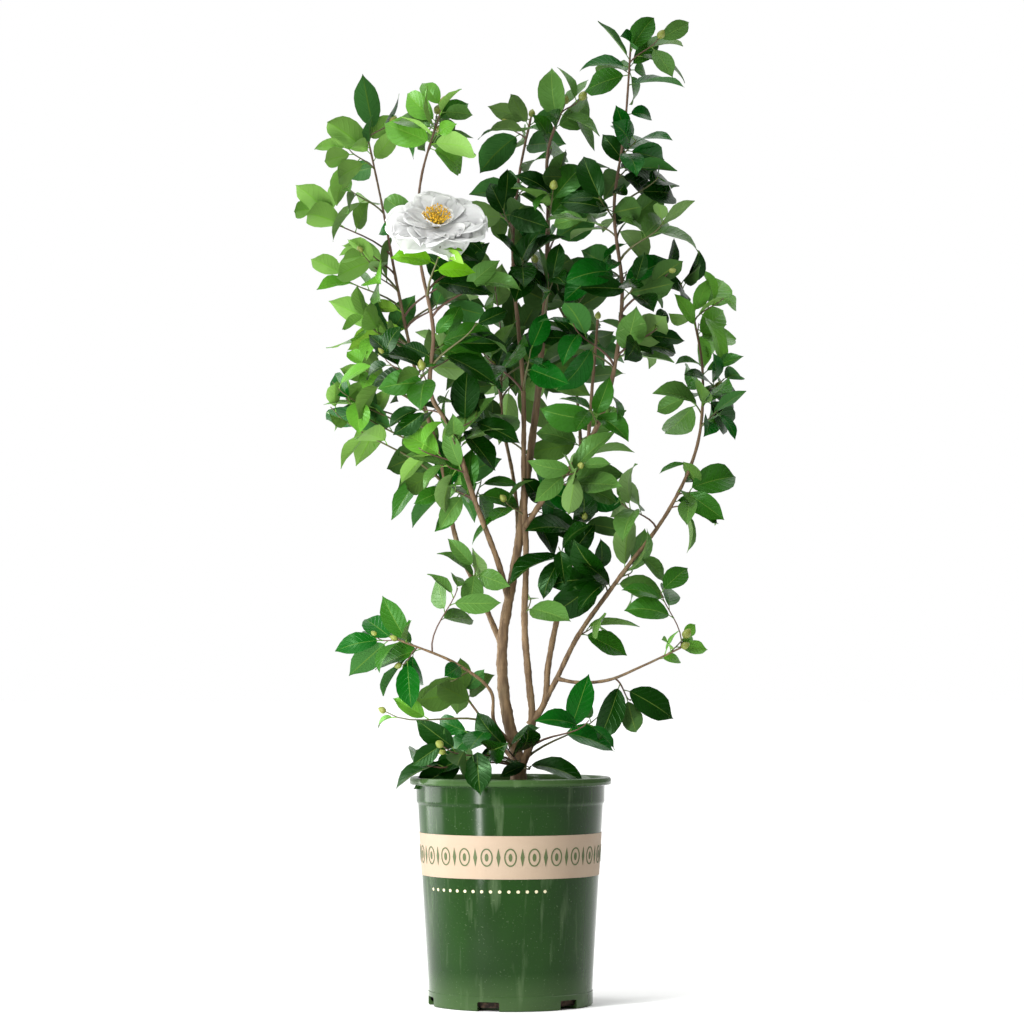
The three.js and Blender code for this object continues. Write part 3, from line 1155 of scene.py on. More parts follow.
@dataclass(frozen=True)
class Habit:
    """How a spray's leaves grow: their tints, how far they droop, and how many there are."""

    tints: tuple[Tint, ...] = (Tint.DEEP, Tint.MID, Tint.DEEP, Tint.COOL, Tint.WARM)
    droop: float = 0.35
    share: float = 1.0
    size: float = 1.0
    buds: float = 0.3


@dataclass
class Mass:
    """The space that a group of sprays fills: an oval."""

    name: str
    centre: Array
    half: Array
    habit: Habit

    @staticmethod
    def of(name: str) -> Mass:
        """The space of a foliage node, from its box."""
        low, high = (np.array(corner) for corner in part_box(name))
        return Mass(name, (low + high) / 2, (high - low) / 2, HABITS.get(name, Habit()))

    @staticmethod
    def between(name: str, centre: Point, half: Point, habit: Habit) -> Mass:
        """A space between the foliage nodes."""
        return Mass(name, np.array(centre), np.array(half), habit)

    def depth(self, point: Array) -> float:
        """How far out a point lies: 0 at the middle, 1 on the surface."""
        return float(np.linalg.norm((point - self.centre) / self.half))


@dataclass
class Shoot:
    """A twig from a limb into a mass, as points with a radius each."""

    line: Array
    radii: Array
    young: bool


DARK = (Tint.DEEP, Tint.COOL, Tint.DEEP)
DARK_MIXED = (Tint.DEEP, Tint.MID, Tint.COOL)
MIXED = (Tint.MID, Tint.DEEP, Tint.WARM, Tint.COOL)
LIGHT_MIXED = (Tint.WARM, Tint.FRESH, Tint.MID)
LIGHT = (Tint.FRESH, Tint.WARM, Tint.FRESH)

HABITS: dict[str, Habit] = {
    "leaves_right_tip": Habit((Tint.MID, Tint.COOL, Tint.WARM), 0.1, 0.5),
    "leaves_right_high": Habit(DARK_MIXED, 0.15, 0.5),
    "leaves_right_mid": Habit((Tint.DEEP, Tint.WARM, Tint.COOL), 0.2, 1.1),
    "leaves_right_low": Habit(DARK, 0.5, 1.4),
    "leaves_right_inner": Habit(MIXED, 0.4, 1.1),
    "leaves_top_middle": Habit(LIGHT_MIXED, 0.2, 0.3),
    "leaves_upper_front": Habit((Tint.WARM, Tint.DEEP, Tint.MID), 0.35, 0.85),
    "leaves_upper_back": Habit(MIXED, 0.35, 0.8),
    "leaves_top_left": Habit((Tint.WARM, Tint.MID, Tint.COOL), 0.2, 0.32),
    "leaves_crest_front_left": Habit((Tint.FRESH, Tint.WARM, Tint.MID), 0.15, 0.6),
    "leaves_crest_back_left": Habit((Tint.FRESH, Tint.MID, Tint.COOL), 0.2, 0.65),
    "leaves_side_upper": Habit(LIGHT, 0.25, 0.75),
    "leaves_flower": Habit(MIXED, 0.3, 1.3),
    "leaves_side_mid": Habit((Tint.FRESH, Tint.LIME, Tint.MID), 0.35, 0.55),
    "leaves_side_front": Habit((Tint.DEEP, Tint.COOL, Tint.MID), 0.4, 1.4, 1.0, 0.8),
    "leaves_side_low": Habit((Tint.FRESH, Tint.COOL, Tint.LIME), 0.5, 0.9, 1.05),
    "leaves_side_out": Habit((Tint.FRESH, Tint.COOL, Tint.LIME), 0.8, 1.9),
    "leaves_left_front": Habit(LIGHT_MIXED, 0.5, 1.05),
    "leaves_left_back": Habit(MIXED, 0.45, 1),
    "leaves_left_low": Habit(LIGHT_MIXED, 0.5, 1),
    "leaves_mid_front_left": Habit((Tint.MID, Tint.WARM, Tint.DEEP), 0.4, 0.85),
    "leaves_core_front_left": Habit(DARK_MIXED, 0.4, 1),
    "leaves_core_front_right": Habit(DARK, 0.4, 0.95),
    "leaves_far_high": Habit(LIGHT, 0.3, 0.65),
    "leaves_far_inner": Habit((Tint.WARM, Tint.MID), 0.35, 1),
    "leaves_far_mid": Habit((Tint.WARM, Tint.MID, Tint.WARM, Tint.COOL), 0.35, 1),
    "leaves_far_low": Habit((Tint.WARM, Tint.MID), 0.7, 0.5),
    "leaves_hanging": Habit((Tint.DEEP, Tint.MID, Tint.DEEP), 0.95, 1, 1.1, 0.6),
    "leaves_low_front": Habit((Tint.WARM, Tint.MID, Tint.WARM, Tint.COOL), 0.4, 0.95),
    "leaves_low_front_right": Habit((Tint.MID, Tint.WARM), 0.5, 0.5),
    "leaves_low_back_right": Habit((Tint.WARM, Tint.MID), 0.5, 0.55),
    "leaves_low_back": Habit((Tint.MID, Tint.WARM, Tint.COOL), 0.4, 0.25),
    "leaves_low_back_side": Habit((Tint.COOL,), 0.3, 0.25),
    "leaves_shoot_left": Habit((Tint.MID, Tint.FRESH, Tint.COOL), 0.05, 0.4),
    "leaves_shoot_base": Habit((Tint.MID, Tint.COOL), 0.3, 0.25),
    "leaves_rim": Habit(DARK, 0.3, 1),
    "leaves_rim_front": Habit((Tint.COOL, Tint.DEEP), 1.2, 1.3),
    "leaves_shoot_right": Habit((Tint.DEEP, Tint.COOL, Tint.WARM), 0.4, 0.5),
    "leaves_shoot_right_tip": Habit(LIGHT, 0.1, 1.3, 0.6, 1.0),
}

BETWEEN = (
    ("below_flower", (-0.088, -0.15, 1.0), (0.036, 0.015, 0.024), Habit((Tint.LIME,), 0.2, 1.6, 0.7, 0.0)),
    ("left_of_middle", (-0.07, -0.04, 0.775), (0.08, 0.06, 0.05), Habit(MIXED, 0.4)),
    ("middle_low", (-0.05, -0.02, 0.685), (0.06, 0.06, 0.045), Habit(LIGHT_MIXED, 0.4, 0.8)),
    ("right_of_middle", (0.066, -0.02, 0.665), (0.055, 0.05, 0.06), Habit(DARK_MIXED, 0.5, 0.9)),
    ("right_fork", (0.15, -0.04, 0.67), (0.03, 0.04, 0.035), Habit(MIXED, 0.5, 0.9)),
    ("right_foot", (0.115, -0.03, 0.505), (0.036, 0.035, 0.03), Habit(MIXED, 0.6, 0.8)),
    ("stem_front", (0.03, -0.03, 0.54), (0.022, 0.03, 0.022), Habit((Tint.WARM,), 0.5, 0.9)),
    ("right_crest", (0.19, -0.07, 1.11), (0.055, 0.05, 0.04), Habit(DARK, 0.2, 0.8)),
    ("middle_crest", (0.053, 0.0, 1.155), (0.032, 0.045, 0.033), Habit(MIXED, 0.2, 0.9)),
    ("left_crest", (-0.1, -0.07, 1.16), (0.04, 0.04, 0.035), Habit(LIGHT_MIXED, 0.2, 0.9)),
    ("left_edge_high", (-0.2, 0.06, 1.0), (0.035, 0.045, 0.045), Habit(LIGHT, 0.3, 0.8)),
    ("left_edge", (-0.195, 0.05, 0.92), (0.033, 0.04, 0.04), Habit(LIGHT_MIXED, 0.4, 0.8)),
    ("left_shoot_foot", (-0.17, -0.045, 0.39), (0.03, 0.02, 0.016), Habit((Tint.FRESH,), 0.1, 1.2, 0.8, 1.0)),
    ("left_shoot_under", (-0.14, -0.05, 0.452), (0.03, 0.03, 0.028), Habit((Tint.COOL, Tint.MID), 0.6)),
    ("rim_left", (-0.125, -0.06, 0.325), (0.022, 0.03, 0.03), Habit(DARK, 0.9)),
    ("stem_foot", (0.022, -0.055, 0.318), (0.03, 0.02, 0.02), Habit((Tint.DEEP,), 0.7, 0.8)),
    ("far_outside", (0.272, -0.04, 0.82), (0.036, 0.04, 0.042), Habit(DARK_MIXED, 0.4, 0.9)),
    ("far_elbow", (0.245, -0.05, 0.665), (0.03, 0.035, 0.033), Habit((Tint.WARM,), 0.9, 0.7)),
)


@dataclass(frozen=True)
class Growth:
    """The rule that all shoots and leaves grow by: lengths in metres, angles in radians."""

    usual_leaves: float = 11.3
    usual_half: float = 0.05
    crowding_power: float = 0.7
    per_shoot: int = 4
    leaf_length: Pair = (0.052, 0.08)
    young_leaves: float = 0.3
    stalk: float = 0.008
    tries: int = 24
    divide: float = 0.03
    leafy_radius: float = 0.0031
    leaf_spacing: float = 0.026
    tip_leaves: int = 4
    tip_run: float = 0.045
    top: float = 1.325
    right: float = 0.312
    climb: float = 0.6
    hang_cost: float = 1.2
    stout: float = 0.006
    stout_cost: float = 0.1
    short: float = 0.03
    short_cost: float = 0.05
    twig_points: int = 9
    twig_tip: float = 0.0007
    twig_most: float = 0.0019
    young_share: float = 0.45
    open_angle: Pair = (0.6, 1.35)
    reach: float = 1.05
    reach_cost: float = 1.8
    edge_on_cost: float = 0.25
    limit_cost: float = 40
    bloom_cost: float = 12
    neighbours: int = 6
    neighbour_cost: float = 0.03
    neighbour_gap: float = 0.006
    flattened: float = 0.55
    turned_over: float = 0.08
    bud_radius: Pair = (0.0042, 0.006)
    tip_bud_radius: Pair = (0.004, 0.0055)


class Foliage:
    """All that grows on the limbs: shoots, leaves and buds, by one seeded rule."""

    shape = LeafShape()
    rule = Growth()

    def __init__(self, bloom: Bloom) -> None:
        """Read the masses' spaces and grow everything in them.

        Args:
            bloom: the flower, which the leaves leave room for.
        """
        self.nodes = sorted(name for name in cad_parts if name.startswith("leaves_"))
        self.masses = [Mass.of(name) for name in self.nodes] + [Mass.between(*space) for space in BETWEEN]
        self.bloom = bloom
        self.line = np.concatenate([limb.line for limb in LIMBS])
        self.along = np.concatenate([limb.along for limb in LIMBS])
        self.radii = np.concatenate([limb.radii for limb in LIMBS])
        self.leaves: list[Leaf] = []
        self.middles = np.zeros((0, 3))
        self.shoots: list[Shoot] = []
        self.buds: list[tuple[Array, Array, float]] = []
        self.end_limbs(np.random.default_rng(TIP_SEED))
        self.shoots.append(self.shoot_to(bloom.centre, np.random.default_rng(SEED)))
        self.buds.append((bloom.centre - 0.012 * bloom.facing, bloom.facing, self.rule.bud_radius[1]))
        for order, mass in enumerate(self.masses):
            self.grow(mass, np.random.default_rng(SEED + order))

    def end_limbs(self, rng: Chances) -> None:
        """Set a few leaves and a bud on the end of each limb.

        Args:
            rng: the source of its chances.
        """
        for limb in LIMBS:
            mass = min(self.masses, key=lambda m: m.depth(limb.line[-1]))
            run = limb.line[-int(self.rule.tip_run / limb.spacing):]
            self.leaf_up(run, 0.0, self.rule.tip_leaves, mass, mass.habit.tints[0], rng)
            self.buds.append((run[-1], limb.along[-1], rng.uniform(*self.rule.tip_bud_radius)))

    def grow(self, mass: Mass, rng: Chances) -> None:
        """Leaf the limbs inside a mass, and grow leafy shoots into the rest of it.

        Args:
            mass: the space to fill.
            rng: the source of its chances.
        """
        rule, habit = self.rule, mass.habit
        volume = float(np.prod(mass.half)) / rule.usual_half**3
        wanted = max(2, round(rule.usual_leaves * habit.share * volume**rule.crowding_power))
        for limb in LIMBS:
            inside = np.array([mass.depth(p) < 0.95 for p in limb.line]) & (limb.radii < rule.leafy_radius)
            count = min(round(inside.sum() * limb.spacing / rule.leaf_spacing), wanted // 2)
            if count:
                self.leaf_up(limb.line[inside], 0.0, count, mass, self.tint_of(habit, rng), rng)
                wanted -= count
        shoots = max(1, round(wanted / rule.per_shoot))
        turn = rng.uniform(0, math.tau)
        levels = rng.permutation(shoots)
        for k in range(shoots):
            count = wanted // shoots + (k < wanted % shoots)
            azimuth = turn + GOLDEN_ANGLE * k
            reach = rng.uniform(0.4, 0.75) if shoots > 1 else 0.15
            level = 1.1 * (levels[k] + 0.5) / shoots - 0.45
            heading = np.array([math.cos(azimuth) * reach, math.sin(azimuth) * reach, level])
            shoot = self.shoot_to(mass.centre + heading * mass.half, rng)
            self.shoots.append(shoot)
            inside = [mass.depth(p) < rule.reach for p in shoot.line]
            start = max(inside.index(True) - 1, 1) / (len(inside) - 1) if any(inside) else 0.3
            self.leaf_up(shoot.line, min(start, 0.4), count, mass, self.tint_of(habit, rng), rng)
            if rng.random() < habit.buds:
                end = unit(shoot.line[-1] - shoot.line[-2])
                self.buds.append((shoot.line[-1], end, rng.uniform(*rule.bud_radius)))

    @staticmethod
    def tint_of(habit: Habit, rng: Chances) -> Tint:
        """Deal a tint to a spray."""
        return habit.tints[int(rng.integers(len(habit.tints)))]

    def shoot_to(self, tip: Array, rng: Chances) -> Shoot:
        """Route a twig from the best place on a limb to a tip.

        Args:
            tip: where it ends.
            rng: the source of its chances.

        Returns:
            The twig.
        """
        rule = self.rule
        offset = tip - self.line
        gap = np.linalg.norm(offset, axis=1)
        hang = np.maximum(rule.climb * gap - offset[:, 2], 0)
        score = gap + rule.hang_cost * hang + np.where(self.radii > rule.stout, rule.stout_cost, 0)
        near = int(np.argmin(score + np.where(gap < rule.short, rule.short_cost, 0)))
        start, heading, span = self.line[near], self.along[near], gap[near]
        toward = unit(tip - start)
        first = start + span * 0.35 * unit(0.5 * heading + 0.8 * toward)
        second = tip - span * 0.3 * unit(toward + 0.6 * UP + rng.normal(0, 0.15, 3))
        t = np.linspace(0, 1, rule.twig_points)[:, None]
        line = ((1 - t)**3 * start + 3 * (1 - t)**2 * t * first
                + 3 * (1 - t) * t**2 * second + t**3 * tip)
        thick = min(0.0009 + 0.011 * span, rule.twig_most, 0.8 * self.radii[near])
        radii = np.linspace(thick, rule.twig_tip, rule.twig_points)
        return Shoot(line, radii, bool(rng.random() < rule.young_share))

    def leaf_up(self, line: Array, start: float, count: int, mass: Mass, tint: Tint,
                rng: Chances) -> None:
        """Set leaves along a twig.

        Args:
            line: the twig's points.
            start: the share of it that stays bare.
            count: how many leaves it bears.
            mass: the mass that they fill.
            tint: the spray's tint.
            rng: the source of its chances.
        """
        along = unit(np.gradient(line, axis=0)) if len(line) > 2 else np.tile(UP, (len(line), 1))
        for j in range(count):
            t = start + (1 - start) * (j + 0.6) / count
            at = t * (len(line) - 1)
            foot = np.array([np.interp(at, np.arange(len(line)), line[:, k]) for k in range(3)])
            heading = along[min(int(round(at)), len(along) - 1)]
            age = 1 - self.rule.young_leaves * max(0.0, (j + 1) / count - 0.6) / 0.4
            length = rng.uniform(*self.rule.leaf_length) * mass.habit.size * age
            leaf = self.best_leaf(foot, heading, length, mass, tint, rng, j)
            self.leaves.append(leaf)
            self.middles = np.concatenate([self.middles, [(leaf.base + leaf.tip) / 2]])

    def best_leaf(self, foot: Array, heading: Array, length: float, mass: Mass,
                  tint: Tint, rng: Chances, order: int) -> Leaf:
        """Choose a leaf's direction among a few chances.

        Args:
            foot: where it leaves the twig.
            heading: which way the twig runs there.
            length: the blade's length.
            mass: the mass that it should fill.
            tint: its tint.
            rng: the source of its chances.
            order: the leaf's number on its shoot.

        Returns:
            The leaf that stays best inside the mass and clear of its neighbours.
        """
        rule = self.rule
        side, other = square_to(heading, np.array([0.3, -1.0, 0.1]))
        half = 1.0 if foot[1] > rule.divide else -1.0
        outward = unit(np.array([0.8 * foot[0], 0.2 * half + foot[1], 0.0]))
        best, best_score = None, math.inf
        for _ in range(rule.tries):
            turn = order * GOLDEN_ANGLE + rng.normal(0, 1.2)
            open_angle = rng.uniform(*rule.open_angle)
            blade = unit(turned_to(open_angle, heading, turned_to(turn, side, other)))
            base = foot + blade * rule.stalk
            blade = unit(blade - UP * mass.habit.droop * rng.uniform(0.5, 1.4))
            tip, middle = base + blade * length, base + blade * length / 2
            score = max(mass.depth(tip) - rule.reach, 0) * rule.reach_cost
            score += rule.edge_on_cost * float(blade @ outward) ** 2
            score += rule.limit_cost * (max(tip[2] - rule.top, 0) + max(tip[0] - rule.right, 0))
            score += rule.bloom_cost * self.bloom.crowding(middle, tip)
            if len(self.middles):
                offset = self.middles - middle
                offset = offset - rule.flattened * (offset @ outward)[:, None] * outward
                gaps = np.sort(np.linalg.norm(offset, axis=1))[:rule.neighbours]
                score += rule.neighbour_cost * float(np.sum(1 / (rule.neighbour_gap + gaps)))
            if score < best_score:
                best_score, best = score, (base, blade)
        base, blade = best
        shown = 1.0 if rng.random() > rule.turned_over else -0.7
        facing = unit(rng.uniform(0.1, 1.0) * UP + shown * outward + rng.normal(0, 0.55, 3))
        normal = unit(facing - (facing @ blade) * blade)
        return Leaf(foot, base, blade, normal, length, tint)

    def build(self) -> None:
        """Join the leaves by tint, the twigs, and the buds."""
        rng = np.random.default_rng(BLADE_SEED)
        faces, slots = self.shape.faces()
        places = self.shape.places()
        batches = {tint: Batch() for tint in Tint}
        for leaf in self.leaves:
            local = self.shape.blade(
                leaf.length, rng.uniform(0.88, 1.16), rng.uniform(0.1, 0.5),
                rng.uniform(0.1, 1.05), rng.normal(0, 0.22), rng.uniform(0.004, 0.018),
                rng.uniform(0, 6.3))
            across = np.cross(leaf.along, leaf.normal)
            turned = local @ np.stack([across, leaf.along, leaf.normal])
            batch = batches[leaf.tint]
            batch.add(leaf.base + turned, faces, slots, places)
            line = np.stack([leaf.foot, (leaf.foot + leaf.base) / 2, leaf.base + leaf.along * 0.002])
            stalk = tube(line, np.array(self.shape.stalk_radii), self.shape.stalk_sides)
            batch.add(*stalk, 2, 0.5)
        stood_for = self.nodes
        for tint, batch in batches.items():
            above, below = tint.value
            made = batch.build(tint.piece, [
                LeafFinish(tint.piece + "_above", above, 0.24),
                LeafFinish(tint.piece + "_below", below, 0.6),
                LeafFinish(tint.piece + "_rib", tint.rib, 0.45, 0.0001)])
            Bench.smooth(made, 60)
            Bench.finish(made, "foliage", *stood_for)
            stood_for = []
        self.build_twigs()
        self.build_buds(rng)
        LOG.info("%d leaves, %d shoots, %d buds", len(self.leaves), len(self.shoots), len(self.buds))

    def build_twigs(self) -> None:
        """Join all the shoots in one piece, the old ones brown and the young ones green-brown."""
        batch = Batch()
        for shoot in self.shoots:
            batch.add(*tube(shoot.line, shoot.radii, 6), int(shoot.young))
        made = batch.build("twigs", [
            PlainBarkFinish("twig_brown", srgb(86, 62, 47)),
            PlainBarkFinish("twig_young", srgb(82, 82, 42), 0.5)])
        Bench.finish(made, "bark")

    def build_buds(self, rng: Chances) -> None:
        """Join the plump buds in one piece, each a pointed oval wrapped in scales.

        Args:
            rng: the source of how their scales lie.
        """
        rows, sides, plumpness = 8, 10, 2.7
        faces = grid_faces(rows, sides, True)
        t = np.linspace(0, 1, rows)
        turn = np.linspace(0, math.tau, sides, endpoint=False)
        batch = Batch()
        for place, heading, radius in self.buds:
            side, other = square_to(heading, np.array([0.2, 1.0, 0.3]))
            wide = radius * np.sin(math.pi * t**0.8) ** 0.8
            scale = 1 + 0.07 * np.sin(3 * turn[None] + 5.5 * t[:, None] + rng.uniform(0, 6))
            ring = np.cos(turn)[:, None] * side + np.sin(turn)[:, None] * other
            axis = place + heading * (t * plumpness * radius)[:, None]
            corners = axis[:, None] + ring[None] * (wide[:, None] * scale)[..., None]
            batch.add(corners.reshape(-1, 3), faces)
        made = batch.build("buds", [PlainBarkFinish("bud_scale", srgb(128, 138, 58), 0.42)])
        Bench.finish(made, "foliage")


# ---- Pot ----------------------------------------------------------------------------------


@dataclass
class Pot:
    """The nursery pot: a tapered wall, a collar, a rolled rim, and drain notches at the foot."""

    height: float = 0.304
    foot_radius: float = 0.1105
    foot_band: float = 0.019
    waist_height: float = 0.268
    waist_radius: float = 0.1242
    collar_radius: float = 0.1264
    rim_radius: float = 0.1357
    rim_depth: float = 0.01
    wall: float = 0.0022
    floor: float = 0.004
    sides: int = 128
    notches: int = 6
    notch_size: Point = (0.044, 0.03, 0.025)
    notch_round: float = 0.0022
    first_notch: float = -15.5

    def outside(self, height: float) -> float:
        """The wall's outer radius at a height below the waist.

        Args:
            height: the height.

        Returns:
            The radius.
        """
        share = (height - self.foot_band) / (self.waist_height - self.foot_band)
        foot = self.foot_radius - 0.0009
        return foot + (self.waist_radius - foot) * share

    def profile(self) -> list[Pair]:
        """The radius and height of each ring, up the outside and down the inside.

        Returns:
            The rings, from the underside to the inner floor.
        """
        top, under = self.height, self.height - self.rim_depth
        collar, waist = self.collar_radius, self.waist_height
        return [
            (self.foot_radius - 0.012, 0), (self.foot_radius - 0.0022, 0),
            (self.foot_radius - 0.0007, 0.0007), (self.foot_radius, 0.0022),
            (self.foot_radius, self.foot_band - 0.0004), (self.foot_radius - 0.0009, self.foot_band + 0.0004),
            (self.outside(0.022), 0.022), (self.outside(0.12), 0.12), (self.outside(0.266), 0.266),
            (self.waist_radius, waist), (self.waist_radius + 0.0004, waist + 0.0006),
            (collar - 0.0003, waist + 0.0028), (collar, waist + 0.004), (collar, waist + 0.006),
            (collar + 0.0003, under - 0.003), (collar + 0.0004, under - 0.0012), (collar + 0.0014, under),
            (self.rim_radius - 0.002, under), (self.rim_radius - 0.0006, under + 0.0008),
            (self.rim_radius, under + 0.0024), (self.rim_radius - 0.0003, top - 0.003),
            (self.rim_radius - 0.0014, top - 0.0009), (self.rim_radius - 0.0034, top),
            (collar, top), (collar - 0.0014, top - 0.0006), (collar - 0.0022, top - 0.002),
            (collar - self.wall - 0.0003, top - 0.006), (collar - self.wall, waist + 0.004),
            (self.waist_radius - self.wall, waist), (self.outside(0.12) - self.wall, 0.12),
            (self.outside(0.02) - self.wall, 0.007), (self.outside(0.02) - self.wall - 0.003, self.floor),
        ]

    def build(self) -> None:
        """Model the wall, cut the drain notches, and dress it."""
        made = Bench.turned("pot_shell", self.profile(), self.sides)
        cutters = []
        for k in range(self.notches):
            angle = math.radians(self.first_notch - 90 + 360 * k / self.notches)
            Bench.clear()
            bpy.ops.mesh.primitive_cube_add(size=1)
            cutter = bpy.context.object
            cutter.scale = self.notch_size
            bpy.ops.object.transform_apply(scale=True)
            Bench.modify(cutter, "BEVEL", width=self.notch_round, segments=3)
            cutter.location = (self.foot_radius * math.cos(angle), self.foot_radius * math.sin(angle), 0)
            cutter.rotation_euler = (0, 0, angle)
            cutters.append(cutter)
        cutter = Bench.join(cutters, "notch_cutter")
        Bench.modify(made, "BOOLEAN", operation="DIFFERENCE", object=cutter, solver="EXACT")
        bpy.data.objects.remove(cutter)
        Bench.smooth(made, 35)
        made.data.materials.append(PlasticFinish().make())
        Bench.finish(made, "pot_green", "pot")


@dataclass
class Band:
    """The paper band round the pot, with a plain egg-and-dart border, and a row of dots below it."""

    pot: Pot
    low: float = 0.1735
    high: float = 0.2302
    proud: float = 0.00035
    paper: float = 0.0003
    repeats: int = 24
    egg: Pair = (0.017, 0.024)
    yolk: Pair = (0.0052, 0.0105)
    dart: Pair = (0.0056, 0.024)
    stroke: float = 0.0017
    clearance: float = 0.002
    dots: int = 15
    dot: Pair = (0.0046, 0.0042)
    dots_from: float = -60.0
    dots_step: float = 5.9
    dots_drop: float = 0.0165

    def radius(self, height: float) -> float:
        """The band's radius at a height."""
        return self.pot.outside(height) + self.proud

    def build(self) -> None:
        """Model the band, its border and the row of dots below it."""
        made = Bench.ring("paper_band", self.pot.sides, self.radius(self.low), self.low)
        middle = (self.low + self.high) / 2
        Bench.rise([(self.radius(middle), middle), (self.radius(self.high), self.high)],
                   self.radius(self.low), self.low)
        bpy.ops.mesh.select_all(action="SELECT")
        bpy.ops.mesh.normals_make_consistent(inside=False)
        bpy.ops.object.mode_set(mode="OBJECT")
        Bench.modify(made, "SOLIDIFY", thickness=self.paper, offset=1.0)
        Bench.smooth(made, 30)
        paper = PaperFinish("label_paper", srgb(172, 152, 130), srgb(163, 142, 119))
        made.data.materials.append(paper.make())
        Bench.finish(made, "label_band")
        marks = []
        for k in range(self.repeats):
            turn = math.tau * k / self.repeats
            marks.append(self.mark(28, self.egg, turn, middle, self.stroke))
            marks.append(self.mark(16, self.yolk, turn, middle))
            marks.append(self.mark(4, self.dart, turn + math.pi / self.repeats, middle))
        self.stick(marks, "band_border", made, PaperFinish("border_ink", srgb(78, 92, 50), srgb(60, 78, 42)))
        marks = [self.mark(10, self.dot, math.radians(self.dots_from + self.dots_step * k),
                           self.low - self.dots_drop) for k in range(self.dots)]
        pot = bpy.data.objects["pot_shell"]
        self.stick(marks, "dash_row", pot, PaperFinish("dash_ink", srgb(222, 214, 176), srgb(200, 192, 154)))

    def mark(self, sides: int, size: Pair, turn: float, height: float,
             stroke: float = 0.0) -> Piece:
        """Model one flat mark and stand it against the pot.

        Args:
            sides: how many sides its outline has.
            size: its width and its height.
            turn: where it stands round the pot, in radians.
            height: the height of its middle.
            stroke: the width of the line, for an open mark.

        Returns:
            The mark.
        """
        Bench.clear()
        bpy.ops.mesh.primitive_circle_add(vertices=sides, radius=0.5, fill_type="NGON")
        made = bpy.context.object
        Bench.open(made)
        bpy.ops.transform.resize(value=(*size, 1))
        if stroke:
            bpy.ops.mesh.select_mode(type="FACE")
            bpy.ops.mesh.inset(thickness=stroke)
            bpy.ops.mesh.delete(type="FACE")
        bpy.ops.object.mode_set(mode="OBJECT")
        out = self.radius(height) + self.paper + self.clearance
        made.location = (out * math.sin(turn), -out * math.cos(turn), height)
        made.rotation_euler = (math.pi / 2, 0, turn)
        return made

    def stick(self, marks: list[Piece], name: str, wall: Piece,
              ink: PaperFinish) -> None:
        """Lay marks close on a wall as one thin raised piece.

        Args:
            marks: the flat marks.
            name: the piece's name.
            wall: what they lie on.
            ink: their finish.
        """
        made = Bench.join(marks, name)
        Bench.modify(made, "SHRINKWRAP", target=wall, wrap_mode="ABOVE_SURFACE", offset=self.paper)
        Bench.modify(made, "SOLIDIFY", thickness=self.paper, offset=0.0)
        made.data.materials.append(ink.make())
        Bench.finish(made, "label_band")


@dataclass
class PottingMix:
    """The potting mix: a lumpy plug that fills the pot, strewn with bark chips."""

    pot: Pot
    top: float = 0.276
    low: float = 0.0045
    clear: float = 0.0012
    shoulder: float = 0.006
    sides: int = 72
    rings: int = 14
    lump: float = 0.016
    lump_height: float = 0.009
    chips: int = 420
    chip_least: Point = (0.002, 0.0015, 0.0007)
    chip_most: Point = (0.0085, 0.0045, 0.002)
    chip_margin: float = 0.008
    chip_rise: float = 0.0035

    def build(self) -> None:
        """Model the plug and its chips."""
        shoulder = self.top - self.shoulder
        wide = self.pot.outside(shoulder) - self.pot.wall - self.clear
        narrow = self.pot.outside(self.low) - self.pot.wall - self.clear - 0.002
        profile = [(narrow, self.low), (wide, shoulder)]
        profile += [(wide * (1 - (k + 0.4) / self.rings), self.top) for k in range(self.rings)]
        made = Bench.turned("potting_mix_plug", profile, self.sides)
        group = made.vertex_groups.new(name="top")
        group.add([v.index for v in made.data.vertices if v.co.z > self.top - 0.001], 1.0, "REPLACE")
        Bench.modify(made, "DISPLACE", texture=Bench.clouds(self.lump), strength=self.lump_height,
                     mid_level=0.5, vertex_group="top", direction="Z")
        made.data.materials.append(SoilFinish().make())
        Bench.smooth(made, 60)
        Bench.finish(made, "potting_mix", "potting_mix")
        self.build_chips(wide)

    def build_chips(self, wide: float) -> None:
        """Strew chips of bark over the top as one joined piece.

        Args:
            wide: the plug's radius.
        """
        rng = np.random.default_rng(CHIP_SEED)
        block = np.array([[x, y, z] for z in (-1, 1) for y in (-1, 1) for x in (-1, 1)], float)
        faces = np.array([[0, 2, 3, 1], [4, 5, 7, 6], [0, 1, 5, 4], [2, 6, 7, 3], [0, 4, 6, 2], [1, 3, 7, 5]])
        batch = Batch()
        for _ in range(self.chips):
            points = block * rng.uniform(self.chip_least, self.chip_most) * rng.uniform(0.7, 1.1, (8, 3))
            turn, tilt = rng.uniform(0, math.tau), rng.normal(0, 0.3)
            cos, sin = math.cos(turn), math.sin(turn)
            spin = np.array([[cos, -sin, 0], [sin, cos, 0], [0, 0, 1]])
            cos, sin = math.cos(tilt), math.sin(tilt)
            lean = np.array([[1, 0, 0], [0, cos, -sin], [0, sin, cos]])
            out, where = (wide - self.chip_margin) * math.sqrt(rng.random()), rng.uniform(0, math.tau)
            rise = self.top + rng.uniform(0, self.chip_rise)
            place = np.array([out * math.cos(where), out * math.sin(where), rise])
            batch.add(points @ (spin @ lean).T + place, faces, int(rng.integers(3)))
        made = batch.build("bark_chips", [
            PlainBarkFinish(name, colour, 0.85) for name, colour in (
                ("chip_dark", srgb(58, 40, 30)), ("chip_brown", srgb(96, 68, 46)),
                ("chip_pale", srgb(138, 108, 78)))])
        Bench.smooth(made, 20)
        Bench.finish(made, "potting_mix")


# ---- Studio -------------------------------------------------------------------------------


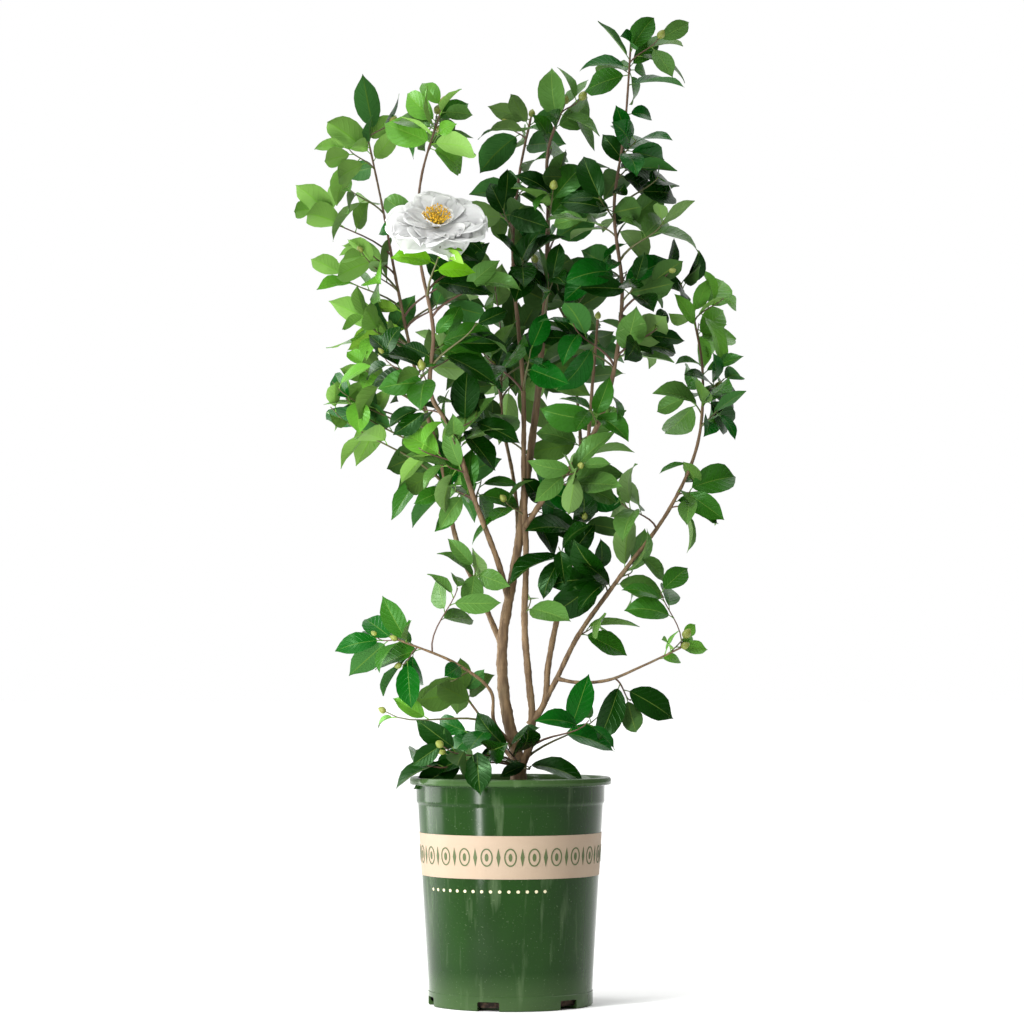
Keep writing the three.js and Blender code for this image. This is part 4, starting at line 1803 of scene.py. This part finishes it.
@dataclass(frozen=True)
class Sun:
    """A far, soft light: where it comes from, how strong it is, and how wide it looks."""

    name: str
    azimuth: float
    height: float
    strength: float
    spread: float


@dataclass(frozen=True)
class Panel:
    """A near, flat lamp: its bearing, distance and height, its width and height, and its power."""

    name: str
    azimuth: float
    distance: float
    height: float
    size: Pair
    power: float


@dataclass
class Studio:
    """The plain pale floor, the soft lights and the camera."""

    distance: float = 4.5
    eye_height: float = 0.45
    aim: Point = (0.002, 0.0, 0.6607)
    lens: float = 117.2
    sensor: float = 36.0
    middle: float = 0.7
    sun_distance: float = 3.0
    floor_size: float = 80.0
    suns: tuple[Sun, ...] = (
        Sun("key", -50, 50, 0.95, 60), Sun("fill", 40, 40, 0.12, 60), Sun("top", 150, 66, 1.05, 60),
        Sun("spark", -38, 54, 0.85, 12))
    panels: tuple[Panel, ...] = (
        Panel("strip", -36, 0.7, 0.54, (0.07, 0.92), 6.2),
        Panel("side", -108, 1.5, 0.8, (0.9, 1.5), 24.0))
    wall_light: Pair = (0.06, 0.8)
    wall_turn: Pair = (0.0, 0.85)
    brightest: Point = (-0.25, 0.5, 0.83)
    white: tuple[float, float, float, float] = (1, 1, 1, 1)

    def build(self) -> None:
        """Set up the floor, the lights and the camera."""
        Bench.clear()
        bpy.ops.mesh.primitive_grid_add(x_subdivisions=4, y_subdivisions=4, size=self.floor_size)
        floor = bpy.context.object
        floor.name = "studio_floor"
        floor.data.materials.append(FloorFinish().make())
        for sun in self.suns:
            lamp = bpy.data.lights.new(sun.name, "SUN")
            lamp.energy, lamp.angle = sun.strength, math.radians(sun.spread)
            rise = math.radians(sun.height)
            level = self.sun_distance * math.cos(rise)
            self.hang(lamp, sun.azimuth, level, self.middle + self.sun_distance * math.sin(rise), self.middle)
        for panel in self.panels:
            lamp = bpy.data.lights.new(panel.name, "AREA")
            lamp.shape = "RECTANGLE"
            lamp.size, lamp.size_y = panel.size
            lamp.energy = panel.power
            self.hang(lamp, panel.azimuth, panel.distance, panel.height, panel.height)
        self.surroundings()
        bpy.context.scene.view_settings.view_transform = "Standard"
        self.camera()

    @staticmethod
    def face(made: Piece, place: Point, aim: Point) -> None:
        """Set a lamp or the camera at a place, facing a point."""
        made.location = place
        made.rotation_euler = (Vector(aim) - made.location).to_track_quat("-Z", "Y").to_euler()

    def hang(self, lamp: bpy.types.Light, azimuth: float, out: float, height: float, aim: float) -> None:
        """Hang a lamp that faces the plant's axis.

        Args:
            lamp: the lamp.
            azimuth: its bearing from the front, in degrees.
            out: how far it is from the plant's axis.
            height: how high it hangs.
            aim: the height that it faces.
        """
        turn = math.radians(azimuth - 90)
        place = (out * math.cos(turn), out * math.sin(turn), height)
        self.face(Bench.set_out(lamp.name, lamp), place, (0, 0, aim))

    def surroundings(self) -> None:
        """Set pale walls all round, brightest above and behind the plant and dim in front of it."""
        world = bpy.data.worlds.new("studio")
        nodes = Nodes(world)
        toward = nodes.add("VectorMath", operation="DOT_PRODUCT")
        nodes.fill(toward, nodes.coordinates.outputs["Generated"], self.brightest)
        strength = nodes.spread(toward.outputs["Value"], *self.wall_turn, *self.wall_light)
        nodes.surface(Color=self.white, Strength=strength)
        seen = nodes.add("Background", Color=self.white)
        path = nodes.add("LightPath")
        either = nodes.fill(nodes.add("MixShader"), path.outputs["Is Camera Ray"],
                            nodes.shader.outputs[0], seen.outputs[0])
        nodes.fill(nodes.tree.nodes["World Output"], either.outputs[0])
        bpy.context.scene.world = world

    def camera(self) -> None:
        """Set the camera at eye height in front of the plant."""
        lens = bpy.data.cameras.new("camera")
        lens.lens, lens.sensor_width = self.lens, self.sensor
        made = Bench.set_out("camera", lens)
        self.face(made, (self.aim[0], -self.distance, self.eye_height), self.aim)
        bpy.context.scene.camera = made


def main() -> None:
    logging.basicConfig(level=logging.INFO, format="%(message)s")
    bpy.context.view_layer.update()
    Studio().build()
    pot = Pot()
    pot.build()
    Band(pot).build()
    PottingMix(pot).build()
    bark = BarkFinish().make()
    rng = np.random.default_rng(SEED)
    for limb in LIMBS:
        limb.build(bark, rng)
    bloom = Bloom()
    Foliage(bloom).build()
    bloom.build()


if __name__ == "__main__":
    main()
